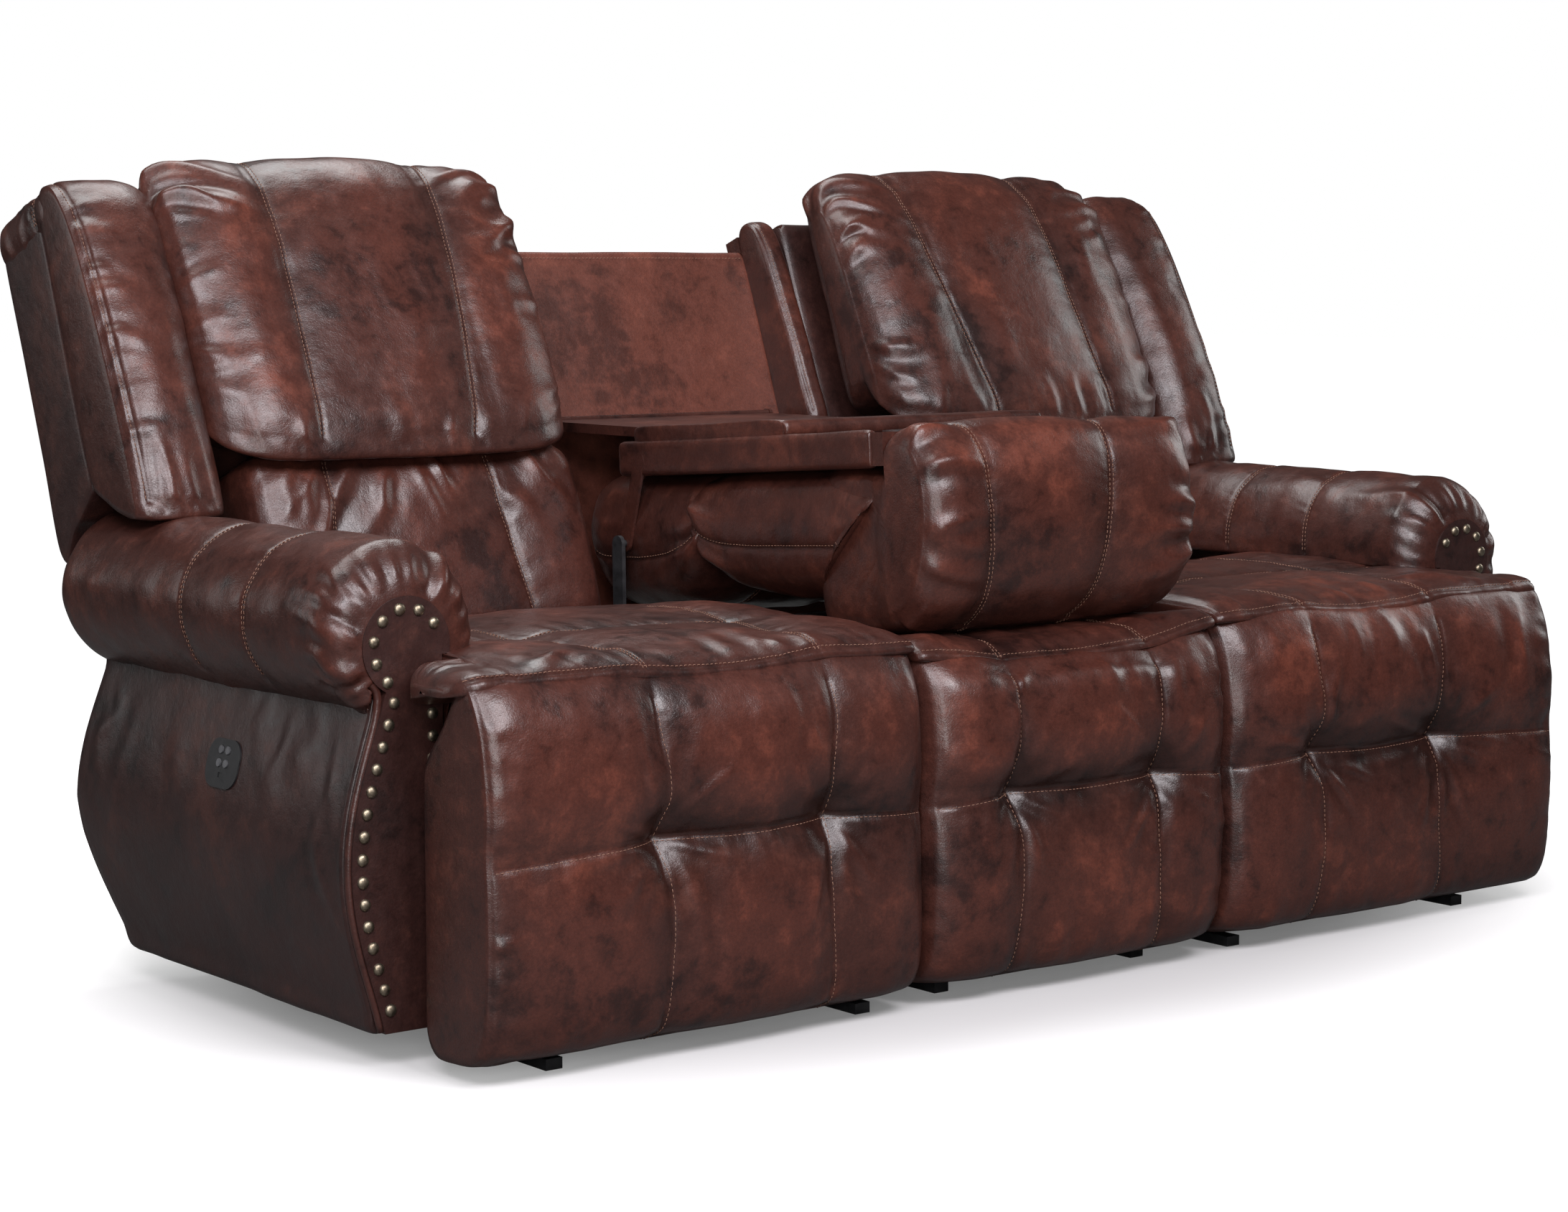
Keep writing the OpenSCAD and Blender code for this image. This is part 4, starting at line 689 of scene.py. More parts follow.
def seat_cushion(hand, side):
    """The seat of an outer place, with the nose that laps over the front pad."""
    outline = cushion_outline(0)
    nose = boxed(NOSE_SHARES, (-NOSE, nose_under(-16)), (-16, SEAM_Z + CROWN))
    f = Form(hand + "_seat_top", hand + "_seat", outline, (-60, 462), (SIDE_IN - 1, ARM_INNER + 66),
        as_is, side, (hand + "_seat_cushion",), seen=seen_front, outline_end=nose,
        morph=(SIDE_OUT - 3, SIDE_OUT + 2), stations=SEAT_ENDS, fill=0.75,
        shape=sagging(SAG_SIDE, 430, 470, (928, ARM_INNER + 66)))
    front, cross = f.at(-NOSE - LIP, SEAM_Z), f.at(95, SEAM_Z + CROWN)
    rear = f.at(SEAT_REAR*0.85, SEAM_Z + 4)
    back = 1 if rear > front else -1
    t0, t1 = TUFTS_SIDE
    f.loose(3.0, 110)
    f.loose(1.2, 36)
    for a, b in ((SIDE_IN, t0 - 20), (t0, t1), (t1 + 15, SIDE_OUT)):
        f.swell((a, b), (front + 15*back, cross), 6.0)
        f.swell((a, b), (cross, rear), 5.0)
    f.seam([[SIDE_IN, front + 3*back], [t0, front + 5*back], [t1, front + 5*back],
        [ARM_INNER + 60, front + 3*back]], depth=1.6, pull=1.5, pull_width=12, pucker=1.6, reach=26,
        wave=36, rows=(3.6*back,))
    for t, lean in ((t0, -40), (t1, 30)):
        f.seam([[t, front], [t + lean*0.2, front + (cross - front)*0.45], [t + lean, cross],
            [t + lean*1.6, rear]], pull_at=lambda w: np.clip(w*5 - 0.4, 0, 1), wave=30, **WIDE_SEAM)
    f.seam([[SIDE_IN + 6, cross - 30*back], [t0 - 40, cross], [565, cross + 8*back], [t1 + 30, cross],
        [SIDE_OUT - 10, cross - 25*back]], depth=2.2, pull=5.0, pull_width=30, pucker=1.8, reach=24,
        wave=28)
    rng = np.random.default_rng(31 + (side > 0))
    f.scatter(rng, 16, (SIDE_IN + 20, ARM_INNER + 20), (front + 6*back, front + 12*back), (0, back),
        (50, 130), (7, 14), (0.8, 2.2))
    f.scatter(rng, 7, (ARM_INNER - 120, ARM_INNER - 10), (front + 10*back, front + 60*back),
        (-0.8, 0.6*back), (70, 150), (9, 15), (1.2, 2.6))
    f.make()


def front_pad(name, body, run, tufts, side, replaces, ends, sag):
    """The tufted pad on the front of a seat, above the floor."""
    outline = boxed(PAD_SHARES, (-187, 22), (-40, 474))
    f = Form(name, body, outline, (-60, 230), run, as_is, side, replaces, seen=seen_front, stations=ends,
        fill=0.8, shape=sagging(sag, 400, 474))
    top, low, row = f.at(-150, 465), f.at(-150, 28), f.at(-182, TUFT_Z)
    down = 1 if low > top else -1
    f.loose(3.6, 150, (0.9, 1.4))
    f.loose(1.4, 46, (0.7, 1.6))
    (x0, x1), (t0, t1) = run, tufts
    a, b = (t0 - x0)/(x1 - x0), (t1 - x0)/(x1 - x0)
    for m, n, much in ((x0, t0, 7), (t0, t1, 9), (t1, x1, 7)):
        f.swell((m, n), (top - 20*down, row), much)
        f.swell((m, n), (row, low), much*0.7)

    def between(w):
        return 0.25 + 0.75/(1 + np.exp(-(w - a + 0.03)/0.02))/(1 + np.exp((w - b - 0.03)/0.02))

    def near_tuft(w):
        return 0.3 + 0.7*np.exp(-((w - abs(row - top)/abs(low - top))/0.2)**2)

    f.seam([[x0 + 4, row + 8*down], [t0, row], [(t0 + t1)/2, row + 3*down], [t1, row],
        [x1 - 8, row + 10*down]], depth=3.4, pull=14, pull_width=36, pull_at=between, pucker=1.8,
        reach=26, wave=34, rows=(3.4*down,), count=60)
    rng = np.random.default_rng(f.seed + 3)
    for t, lean in ((t0, 1), (t1, -1)):
        f.seam([[t - 2*lean, top + 26*down], [t - 3*lean, top + (row - top)*0.35],
            [t + 5*lean, top + (row - top)*0.7], [t, row], [t + 9*lean, row + (low - row)*0.3],
            [t + 4*lean, row + (low - row)*0.7], [t - 4*lean, low + 25*down]], depth=2.6, pull=7,
            pull_width=32, pull_at=near_tuft, pucker=1.2, reach=26, wave=34, rows=(3.4,), count=64)
        f.tuft(t, row, 14, 30, rays=11, reach=(60, 150), height=3.0, width=(6, 12))
        for way in (-1, 1):
            f.scatter(rng, 4, (t - 25, t + 25), (row + 20*way, row + 40*way), (0.15*lean, way), (80, 150),
                (7, 14), (1.2, 3.0), 0.3)
    for count, edge, way in ((11, top, down), (8, low, -down)):
        f.scatter(rng, count, (x0 + 15, x1 - 15), (edge + 2*way, edge + 8*way), (0, way), (60, 150),
            (9, 18), (0.7, 1.8))
    f.scatter(rng, 14, (x1 - 4, x1 - 1), (top, low), (-1, 0), (30, 60), (8, 14), (0.8, 2.4), 0.4, True)
    if body != "frame":
        f.seam([[x1 - 2.5, top], [x1 - 2.5, row], [x1 - 2.5, low]], depth=3.2, width=3.0, pull=1.5,
            pull_width=8, pucker=2.0, reach=16, wave=26, rows=())
        # The pad is given a bend between the seat and footrest bodies, which add_mesh does not carry out:
        # it leaves the pad on no body
        bend_y = (FOOT_Y - ORIGIN_Y)*MM
        f.bend = (body.replace("footrest", "seat"), body, (side*0.6, bend_y, 0.482),
            (side*0.6, bend_y, 0.432))
    f.make()


def centre_seat():
    """The seat of the middle place, hollowed under the folded back."""
    f = Form("centre_seat_top", "frame", cushion_outline(34), (-60, 462), CENTRE_RUN, as_is, 1,
        ("centre_seat_cushion",), seen=seen_front, stations=CUSHION_ENDS, fill=0.75,
        shape=sagging(SAG_CENTRE, 430, 470))
    front, cross = f.at(-NOSE - LIP, SEAM_Z), f.at(95, SEAM_Z - 22)
    back = 1 if cross > front else -1
    t0, t1 = TUFTS_CENTRE
    f.loose(3.0, 110)
    f.loose(1.2, 36)
    for a, b in ((-CENTRE_HALF, t0 + 20), (t0 + 20, t1 - 20), (t1 - 20, CENTRE_HALF)):
        f.swell((a, b), (front + 15*back, cross + 60*back), 6.0)
    f.seam([[-CENTRE_HALF, front + 3*back], [t0, front + 5*back], [t1, front + 5*back],
        [CENTRE_HALF, front + 3*back]], depth=1.6, pull=1.5, pull_width=12, pucker=1.8, reach=28, wave=34,
        rows=(3.6*back,))
    for t, lean in ((t0, 20), (t1, -20)):
        f.seam([[t, front], [t + lean, cross], [t + 1.5*lean, cross + 150*back]], **WIDE_SEAM)
    f.scatter(np.random.default_rng(5), 14, (-CENTRE_HALF + 15, CENTRE_HALF - 15),
        (front + 6*back, front + 12*back), (0, back), (50, 140), (7, 14), (1.0, 2.8))
    f.make()


for hand, side in SIDES.items():
    seat_cushion(hand, side)
    front_pad(hand + "_front_skirt", hand + "_footrest", SIDE_PAD_RUN, TUFTS_SIDE, side,
        (hand + "_front_pad",), PAD_ENDS_SIDE, SAG_SIDE)
centre_seat()
front_pad("centre_front_skirt", "frame", CENTRE_RUN, TUFTS_CENTRE, 1, ("centre_front_pad",), PAD_ENDS,
    SAG_CENTRE)


# Backs

LUMBAR_SHARES = [[0.06, 0.03], [0.4, 0], [0.8, 0.01], [0.985, 0.04], [1, 0.26], [1, 0.58], [1, 0.88],
    [0.955, 0.985], [0.67, 1], [0.3, 0.995], [0.08, 0.955], [0.0, 0.84], [-0.02, 0.66], [-0.01, 0.4],
    [0, 0.22], [0.015, 0.08]]
WING_SHARES = [[0.045, 0.0], [0.4, 0.035], [0.7, 0.09], [0.96, 0.15], [1, 0.25], [1, 0.44], [1, 0.65],
    [1, 0.86], [0.98, 0.965], [0.82, 1], [0.6, 0.985], [0.41, 0.92], [0.26, 0.8], [0.14, 0.62],
    [0.05, 0.4], [0.0, 0.2], [0, 0.06]]
PILLOW_SHARES = [[0.24, 0.04], [0.43, 0.125], [0.8, 0.135], [0.97, 0.155], [1, 0.3], [1, 0.51], [1, 0.78],
    [0.95, 0.93], [0.78, 0.995], [0.56, 0.985], [0.36, 0.895], [0.21, 0.72], [0.115, 0.48], [0.04, 0.25],
    [0, 0.09], [0.055, -0.01]]
EAR_SHARES = [[0.06, 0.005], [0.5, 0], [1, 0.02], [1, 0.3], [1, 0.6], [1, 0.95], [0.88, 0.993], [0.66, 1],
    [0.42, 0.965], [0.26, 0.86], [0.15, 0.6], [0.04, 0.25]]
LUMBAR_ENDS = both_ends([[0, 0.7, 0.78], [0.012, 0.82, 0.87], [0.04, 0.92, 0.94], [0.1, 0.985, 0.98],
    [0.25, 1, 1], [0.5, 1, 1]])


def lumbar(hand, side):
    """The lower cushion of an outer back."""
    f = Form(hand + "_lumbar", hand + "_back", boxed(LUMBAR_SHARES, (-180, -14), (-30, 272)), (-90, 110),
        LUMBAR_RUN, on_back, side, (hand + "_lumbar_cushion",), seen=seen_front, stations=LUMBAR_ENDS,
        fill=0.7)
    top, low = f.at(-150, 262), f.at(-178, 0)
    way = np.sign(low - top)
    f.loose(3.2, 110, (1.4, 0.8), 0.6)
    f.loose(1.4, 40, (2.2, 0.8), 0.7)
    for a, b in ((LUMBAR_RUN[0], 440), (440, 714), (714, LUMBAR_RUN[1])):
        f.swell((a, b), (top, low), 5.0)
    for a, b in ((460, 424), (713, 715)):
        f.seam([[a, top], [(a + b)/2 + 4, (top + low)/2], [b, low]], **DEEP_SEAM)
    rng = np.random.default_rng(71 + (side > 0))
    for count, where, lean in ((16, (320, 600), -0.55), (14, (600, 815), 0.55)):
        f.scatter(rng, count, where, (top - way*20, top + way*60), (lean, way*0.8), (70, 190), (7, 14),
            (1.6, 3.6), 0.3)
    f.make()


def head_pillow(hand, side):
    """The gathered pillow at the top of an outer back."""
    x0, x1 = PILLOW_RUN
    f = Form(hand + "_head_pillow_cover", hand + "_headrest",
        boxed(PILLOW_SHARES, (-226, 236), (-35, 712)), (-125, 470), (x0, x1), on_back, side,
        (hand + "_head_pillow",), seen=seen_front, stations=PILLOW_ENDS, fill=0.85, bulge=4)
    top, low = f.at(-100, 712), f.at(-222, 262)
    way = np.sign(low - top)
    span = low - top
    f.loose(3.4, 130, (1, 1.4))
    f.loose(1.3, 44)
    for a, b in ((x0, 445), (460, 715), (730, x1)):
        f.swell((a, b), (top - 80*way, low), 7.0)
    for a, b in ((430, 490), (710, 733)):
        f.seam([[a - 6, top - 60*way], [a, top], [a + (b - a)*0.25, top + span*0.35],
            [a + (b - a)*0.6, top + span*0.7], [b, low]], depth=2.4, pull=5.0, pull_width=34, pucker=1.2,
            reach=30, wave=40, count=60)
    rng = np.random.default_rng(91 + (side > 0))
    for end, sign in ((x0, 1), (x1, -1)):
        f.scatter(rng, 11, (end + 2*sign, end + 8*sign), (top - 60*way, top + span*0.26),
            (sign, 0.55*way), (70, 150), (7, 13), (2.6, 5.2), 0.3, True)
        f.scatter(rng, 9, (end + 2*sign, end + 8*sign), (top + span*0.26, low), (sign, -0.1*way),
            (40, 100), (8, 15), (1.2, 3.0), 0.25, True)
    f.scatter(rng, 10, (350, 840), (low - way*6, low), (0, -way), (30, 80), (7, 13), (1, 2.6), 0.2, True)
    f.scatter(rng, 10, (350, 840), (top, top + span*0.7), (0, way), (60, 170), (12, 24), (0.8, 2.4))
    f.make()


def wing(hand, side):
    """The padded wing at the outer side of a back."""
    f = Form(hand + "_wing_cover", hand + "_back", boxed(WING_SHARES, (-210, 166), (-72, 672)),
        (-116, 420), (ARM_INNER - 28, BACK_HALF + 5), on_back, side, (hand + "_wing",), seen=seen_front,
        stations=WING_ENDS, fill=0.8, step=3.5, rise_ends=8, bulge=3)
    top, low = f.at(-100, 672), f.at(-206, 190)
    way = np.sign(low - top)
    f.loose(3.0, 100, (0.8, 1.6))
    f.loose(1.2, 34)
    f.swell((ARM_INNER, BACK_HALF), (top, low), 4.0)
    f.seam([[1002, top - 80*way], [1001, top], [1000, (top + low)/2], [999, low]], depth=2.4, pull=1.5,
        pull_width=10, pucker=1.0, reach=16, wave=36, rows=(-3.2,), count=60)
    rng = np.random.default_rng(17 + (side > 0))
    f.scatter(rng, 12, (999, 1000), (top, low), (-1, 0.1*way), (24, 70), (7, 13), (0.8, 2.4), 0.25, True)
    f.scatter(rng, 8, (900, 990), (low - way*10, low), (0, -way), (40, 120), (7, 13), (1, 2.6), 0.15, True)
    f.make()


def back_cap(hand, side):
    """The padded strip that carries the wing's leather over the top of the back."""
    outline = [[887, 604], [884, 640], [889, 662], [912, 671], [950, 673], [990, 671], [1009, 663],
        [1016, 644], [1016, 622], [1011, 607], [990, 601], [930, 600]]
    f = Form(hand + "_back_cap", hand + "_back", outline, (950, 636), (-104, 52),
        lambda p: on_back(along_y(p)), side, fill=0.8, step=3.0, bulge=3, rise_ends=8,
        stations=[[0, 0.94, 0.9], [0.1, 0.99, 0.98], [0.3, 1, 1], [0.8, 1, 1], [0.93, 0.985, 0.95],
        [1, 0.93, 0.8]])
    f.loose(1.6, 60)
    high, outer = f.at(950, 673), f.at(1016, 622)
    f.seam([[-66, high - (outer - high)*0.5], [-64, high], [-66, outer]], depth=2.0, pull=2,
        pull_width=14, pucker=0.8, reach=16, wave=24)
    f.scatter(np.random.default_rng(8), 8, (-60, 30), (high, outer), (0.2, 1), (20, 60), (5, 9),
        (0.8, 2.0), 0.5)
    f.make()


def cheek(hand, side):
    """The plain side panel of the back, padded a little and rounded at its edges."""
    shares = [[0.9, 0.0], [1.0, 0.03], [1.0, 0.3], [1.0, 0.6], [1.0, 0.93], [0.94, 0.985], [0.6, 0.99],
        [0.24, 1.0], [0.05, 0.965], [0.0, 0.9], [0.0, 0.6], [0.0, 0.3], [0.0, 0.145], [0.094, 0.127],
        [0.36, 0.094], [0.615, 0.065]]
    f = Form(hand + "_back_cheek", hand + "_back", boxed(shares, (-78, 178), (46, 665)), (0, 420),
        (ARM_INNER - 11, BACK_HALF + 4), on_back, side, fill=0.9, mat="leather_panel", step=5.0,
        bulge=1.5, rise_ends=10, stations=[[0, 0.97, 0.99], [0.03, 1, 1], [0.95, 1, 1],
        [0.985, 0.985, 0.995], [1, 0.95, 0.985]])
    f.loose(1.2, 110)
    f.make()


def slab(name, body, place, run, outline_box, side=1, mat="leather", step=7.0, corner=12.0, loose=0.8,
        seam_at=None):
    """A thin padded board: a box with rounded edges, for panels covered in leather."""
    (a0, b0), (a1, b1) = outline_box
    r = min(corner, (a1 - a0)*0.42, (b1 - b0)*0.42)
    outline = []
    corners = [(a1 - r, b0 + r, -90, (0, 1)), (a1 - r, b1 - r, 0, (-1, 0)), (a0 + r, b1 - r, 90, (0, -1)),
        (a0 + r, b0 + r, 180, (1, 0))]
    for ca, cb, start, way in corners:
        for t in (0, 45, 90):
            turn = math.radians(start + t)
            outline.append([ca + r*math.cos(turn), cb + r*math.sin(turn)])
        long = (b1 - b0) if way[0] == 0 else (a1 - a0)
        if long > 3*r:
            a, b = outline[-1]
            outline.append([a + way[0]*(long - 2*r)*0.5, b + way[1]*(long - 2*r)*0.5])
    e = r/(run[1] - run[0])
    ends = both_ends([[0, 0.9, 0.94], [e*0.3, 0.965, 0.98], [e, 1, 1], [0.5, 1, 1]])
    f = Form(name, body, outline, ((a0 + a1)/2, (b0 + b1)/2), run, place, side, fill=0.9, mat=mat,
        step=step, bulge=min(2.0, r*0.3), rise_ends=8, stations=ends)
    f.loose(loose, 90)
    if seam_at:
        q = f.at(*seam_at)
        f.seam([[run[0] + 6, q], [(run[0] + run[1])/2, q], [run[1] - 6, q]], depth=1.2, width=2.6,
            rows=(-2.5,))
    f.make()


def ears():
    """The narrow padded rolls on both sides of the fixed panel."""
    for hand, side in SIDES.items():
        f = Form(hand + "_ear", "frame", boxed(EAR_SHARES, (-58, 306), (26, 664)), (-4, 470), (246, 287),
            on_back, side, ("panel_ears",), seen=seen_front, fill=0.7, step=3.0, rise_ends=6,
            stations=[[0, 0.8, 0.97], [0.12, 0.92, 0.99], [0.35, 1, 1], [0.65, 1, 1], [0.88, 0.9, 0.985],
            [1, 0.7, 0.96]])
        f.loose(1.8, 70, (1, 1.6))
        top, low = f.at(-10, 664), f.at(-54, 330)
        f.seam([[252, top], [252, (top + low)/2], [252, low]], depth=1.8, width=2.4, pucker=0.8, reach=12,
            rows=(-3.0,))
        f.make()


def back_boards():
    """Leather over the rear boards of the backs and over the fixed panel in the middle."""
    for hand, side in SIDES.items():
        cover, bridge = ((290, 833), ((-34, 16), (47, 654))), ((822, 892), ((-33, 254), (46, 654)))
        for part, (run, box) in (("cover", cover), ("bridge", bridge)):
            slab(hand + "_back_" + part, hand + "_back", on_back, run, box, side, "leather_panel",
                corner=14)
    slab("centre_panel_cover", "frame", on_back, (-250, 250), ((19.5, 14), (46.5, 626)),
        mat="leather_warm", corner=9, seam_at=(20, 612))


for hand, side in SIDES.items():
    lumbar(hand, side)
    head_pillow(hand, side)
    wing(hand, side)
    cheek(hand, side)
    back_cap(hand, side)
ears()
back_boards()


# Folded centre back

LOBE_SHARES = both_ends([[0.5, 0], [0.28, 0.004], [0.12, 0.05], [0.03, 0.2], [0, 0.42], [0.01, 0.68],
    [0.05, 0.9], [0.14, 1], [0.5, 1]])
T_PILLOW = [[0.3, 0.035], [0.576, 0.0], [0.81, 0.013], [0.963, 0.055], [1, 0.235], [0.985, 0.516],
    [0.93, 0.775]]
T_PILLOW_FRONT = [[0.237, 1], [0.105, 0.955], [0.02, 0.8], [0, 0.587], [0.034, 0.375], [0.122, 0.17]]
T_PILLOW_ENDS = both_ends([[0, 0.72, 0.8], [0.014, 0.82, 0.88], [0.04, 0.91, 0.94], [0.1, 0.975, 0.98],
    [0.25, 1, 1], [0.5, 1, 1]])


def lobe_front(p, q, share):
    """The front lobe ends along a slant, where the head pillow's gathers begin."""
    out = p.copy()
    out[..., 0] = np.maximum(p[..., 0], -562 - 1.1*(p[..., 2] + 80))
    return out


def table_lobe(name, run, drop, ends, seed, shape=None):
    """One of the two lobes of the folded back's padding, under the tray."""
    f = Form(name, "table", boxed(LOBE_SHARES, (-244, -drop), (244, -TRAY_T + 2)), (0, -70), run,
        lambda p: on_tray(along_y(p)), 1, ("table_lumbar_cushion",), stations=ends, fill=0.7, bulge=4,
        rise_ends=10, shape=shape)
    f.loose(3.4, 90)
    f.loose(1.4, 36)
    rng = np.random.default_rng(seed)
    mid_x = (run[0] + run[1])/2
    for edge in (-1, 1):
        line = f.at(edge*240, -drop*0.66)
        under = f.at(edge*95, -drop)
        f.seam([[run[0] + 2, line], [mid_x, line], [run[1] - 2, line]], pull=5, rows=(3.4,), **LOBE_SEAM)
        f.seam([[run[0] + 6, under], [mid_x, under], [run[1] - 6, under]], pull=4, **LOBE_SEAM)
        for at, way in zip(run, (1, -1)):
            f.scatter(rng, 7, (at + way*4, at + way*10), (line - 60, line + 60), (way, 0), (50, 110),
                (8, 15), (1.6, 4.0), 0.3, True)
    f.make()


def table_lumbar():
    table_lobe("folded_lumbar_rear", (-176, 92), 250,
        [[0, 0.97, 0.5], [0.04, 0.985, 0.62], [0.14, 1, 0.8], [0.34, 1, 0.95], [0.6, 1, 1],
        [0.86, 1, 0.97], [0.96, 0.985, 0.88], [1, 0.96, 0.7]], 51)
    table_lobe("folded_lumbar_front", (-556, -146), 226,
        [[0, 0.985, 1], [0.05, 1, 1], [0.6, 1, 1], [0.8, 1, 0.95], [0.91, 1, 0.82], [0.97, 0.985, 0.64],
        [1, 0.97, 0.5]], 52, lobe_front)


def narrow_rear(p, q, share):
    """The pillow's rear side is a little narrower, so that the lobe lies over it."""
    out = p.copy()
    out[..., 0] *= 1 - 0.055*np.clip((p[..., 1] + 585)/40, 0, 1)
    return out


def table_pillow():
    """The head pillow of the folded back, over the front of the tray."""
    box = (-686, -272), (-392, 11)
    outline = [*boxed(T_PILLOW, *box), [-500, -44], [-585, -44], [-585, 2], *boxed(T_PILLOW_FRONT, *box)]
    f = Form("folded_head_pillow", "table", outline, (-597, -130), (-TRAY_HALF - 1, TRAY_HALF + 1),
        on_tray, 1, ("table_pillow",), stations=T_PILLOW_ENDS, fill=0.85, bulge=4, shape=narrow_rear)
    top, low = f.at(-616, 11), f.at(-560, -272)
    way = 1 if f.at(-686, -106) > top else -1
    low_q = low if (low - top)*way > 0 else low + way*f.q_total
    f.loose(3.2, 120)
    f.loose(1.3, 44)
    for a, b in ((-TRAY_HALF, -140), (-140, 70), (75, TRAY_HALF)):
        f.swell((a, b), (top, low_q), 6.0)
    for a, b in ((-155, -120), (85, 60)):
        f.seam([[a, top + 4*way], [a + (b - a)*0.4, top + (low_q - top)*0.4], [b, low_q - 20*way]],
            count=60, **DEEP_SEAM)
    rng = np.random.default_rng(43)
    for end, sign in ((-TRAY_HALF, 1), (TRAY_HALF, -1)):
        f.scatter(rng, 12, (end + sign, end + 6*sign), (top, low_q), (sign, 0), (50, 120), (9, 17),
            (2.5, 6.0), 0.3, True)
        f.scatter(rng, 6, (end + 2*sign, end + 20*sign), (top - 120*way, top), (0.7*sign, 0), (50, 110),
            (8, 14), (2.0, 4.5), 0.4, True)
    f.make()


def tray_covers():
    """Padded leather bands along the tray's sides, and the lid's cushion."""
    for hand, side in SIDES.items():
        slab(hand + "_tray_band", "table", lambda p: on_tray(along_y(p)), (-560, 2),
            ((228, -TRAY_T - 3), (243.5, 3)), side, step=4, corner=7, loose=1.2)
    slab("lid_cover", "table", on_tray, (-239, 239), ((-378, -1), (-22, LID_T + 3)), step=5, corner=9,
        loose=1.4)


tray_covers()
table_lumbar()
table_pillow()


# Arms

# The arm's round head: where its rounding starts, how deep it is and its radius at the front
HEAD_START, HEAD_DEEP, HEAD_RIM = 2.0, 46.0, 62.0


def arm_edge(z):
    """How far out the arm's front panel reaches at a height."""
    t = (np.asarray(z, float) - SKIRT_Z)/(NECK_Z - SKIRT_Z)
    belly = BULGE*np.maximum(0, np.sin(np.pi*np.clip(t, 0, 1)))**1.2
    return ARM_INNER + FOOT_W + (NECK_W - FOOT_W)*t + belly


def arm_roll(hand, side):
    """The arm's padded roll with its rounded, pleated head."""
    a0 = math.asin((ROLL_Z - 495)/ROLL_R)
    a1 = math.acos((ROLL_X - ARM_INNER)/ROLL_R)
    turns = np.linspace(math.pi + a0, -math.pi/2 - (math.pi/2 - a1), 30)
    outline = [[ROLL_X + ROLL_R*math.cos(t), ROLL_Z + ROLL_R*math.sin(t)] for t in turns]
    outline += [[ARM_INNER, 440], [ARM_INNER, 465], [ARM_INNER, 486], [ARM_INNER - 10, 495],
        [ARM_INNER - 30, 495]]

    def shape(p, q, share):
        y = p[:, :1, 0]
        front = np.clip((HEAD_START + HEAD_DEEP - y)/HEAD_DEEP, 0, 1)
        rim = HEAD_RIM + (ROLL_R - HEAD_RIM)*np.sqrt(np.clip(1 - front**2, 0, 1))
        scale = rim/ROLL_R
        cx = ROLL_X + (ROSE_X - ROLL_X)*front
        cz = ROLL_Z + (ROSE_Z - ROLL_Z)*front
        out = p.copy()
        out[..., 1] = cx + (p[..., 1] - ROLL_X)*scale
        out[..., 2] = cz + (p[..., 2] - ROLL_Z)*scale
        rear = np.clip((y - (ARM_DEPTH - 34))/42, 0, 1)
        shrink = 0.84 + 0.16*np.sqrt(np.clip(1 - rear**2, 0, 1))
        out[..., 1] = ROLL_X + (out[..., 1] - ROLL_X)*shrink
        out[..., 2] = ROLL_Z + (out[..., 2] - ROLL_Z)*shrink
        # Below the roll the form stays behind the front panel and outside the seat
        low = out[..., 2] < 493
        inside = low & (out[..., 1] > ARM_INNER - 10) & (out[..., 1] < ARM_INNER + NECK_W + 14)
        out[..., 0] = np.where(inside, np.maximum(p[..., 0], 18), p[..., 0])
        out[..., 1] = np.where(low, np.maximum(out[..., 1], ARM_INNER + 0.5), out[..., 1])
        return out

    def seen(loop, normal):
        return (normal[:, 1] > -0.7) | (loop[:, 0] > ROLL_X)

    f = Form(hand + "_arm_roll_cover", "frame", outline, (ROLL_X, ROLL_Z), (2, ARM_DEPTH + 8), along_y,
        side, (hand + "_arm_roll",), seen=seen, fill=0.85, shape=shape, step=3.4, rise_ends=0.5,
        bulge=0.5)
    f.loose(2.2, 90)
    f.loose(1.1, 34)
    # Gathered pleats round the head of the arm, running back over the roll
    y = f.x[:, None]
    q = f.q[None]
    rng = np.random.default_rng(61)
    wave = 0.7*np.sin(2*np.pi*q/29 + 3.0*grain(q/70, q*0, 9)) + 0.6*grain(q/13.0, y/80, 4)
    strength = np.exp(-((y - 14)/20)**2)*1.8 + np.exp(-np.clip(y - 24, 0, None)/22)*0.6
    strength = strength*(0.65 + 0.5*grain(q/85, q*0, 12))
    f.rise += wave*strength*np.clip((y - 2)/8, 0, 1)
    outer = f.at(ROLL_X + ROLL_R*0.72, ROLL_Z - ROLL_R*0.69)
    inner = f.at(ROLL_X - ROLL_R*0.95, ROLL_Z - 20)
    for where, back in ((222, 10), (378, 40)):
        f.seam([[where + back*0.3, inner], [where + back*0.2, (inner + outer)*0.5], [where - 6, outer]],
            depth=2.6, pull=3.0, pull_width=22, pucker=1.6, reach=22, wave=28, count=60)
    f.scatter(rng, 17, (8, 14), (inner, outer), (1, 0), (50, 130), (7, 13), (1.4, 3.6), 0.3, True)
    f.scatter(rng, 10, (60, 640), (inner, outer), (1, 0.2), (60, 160), (14, 26), (0.8, 2.0), 0.6)
    f.make()


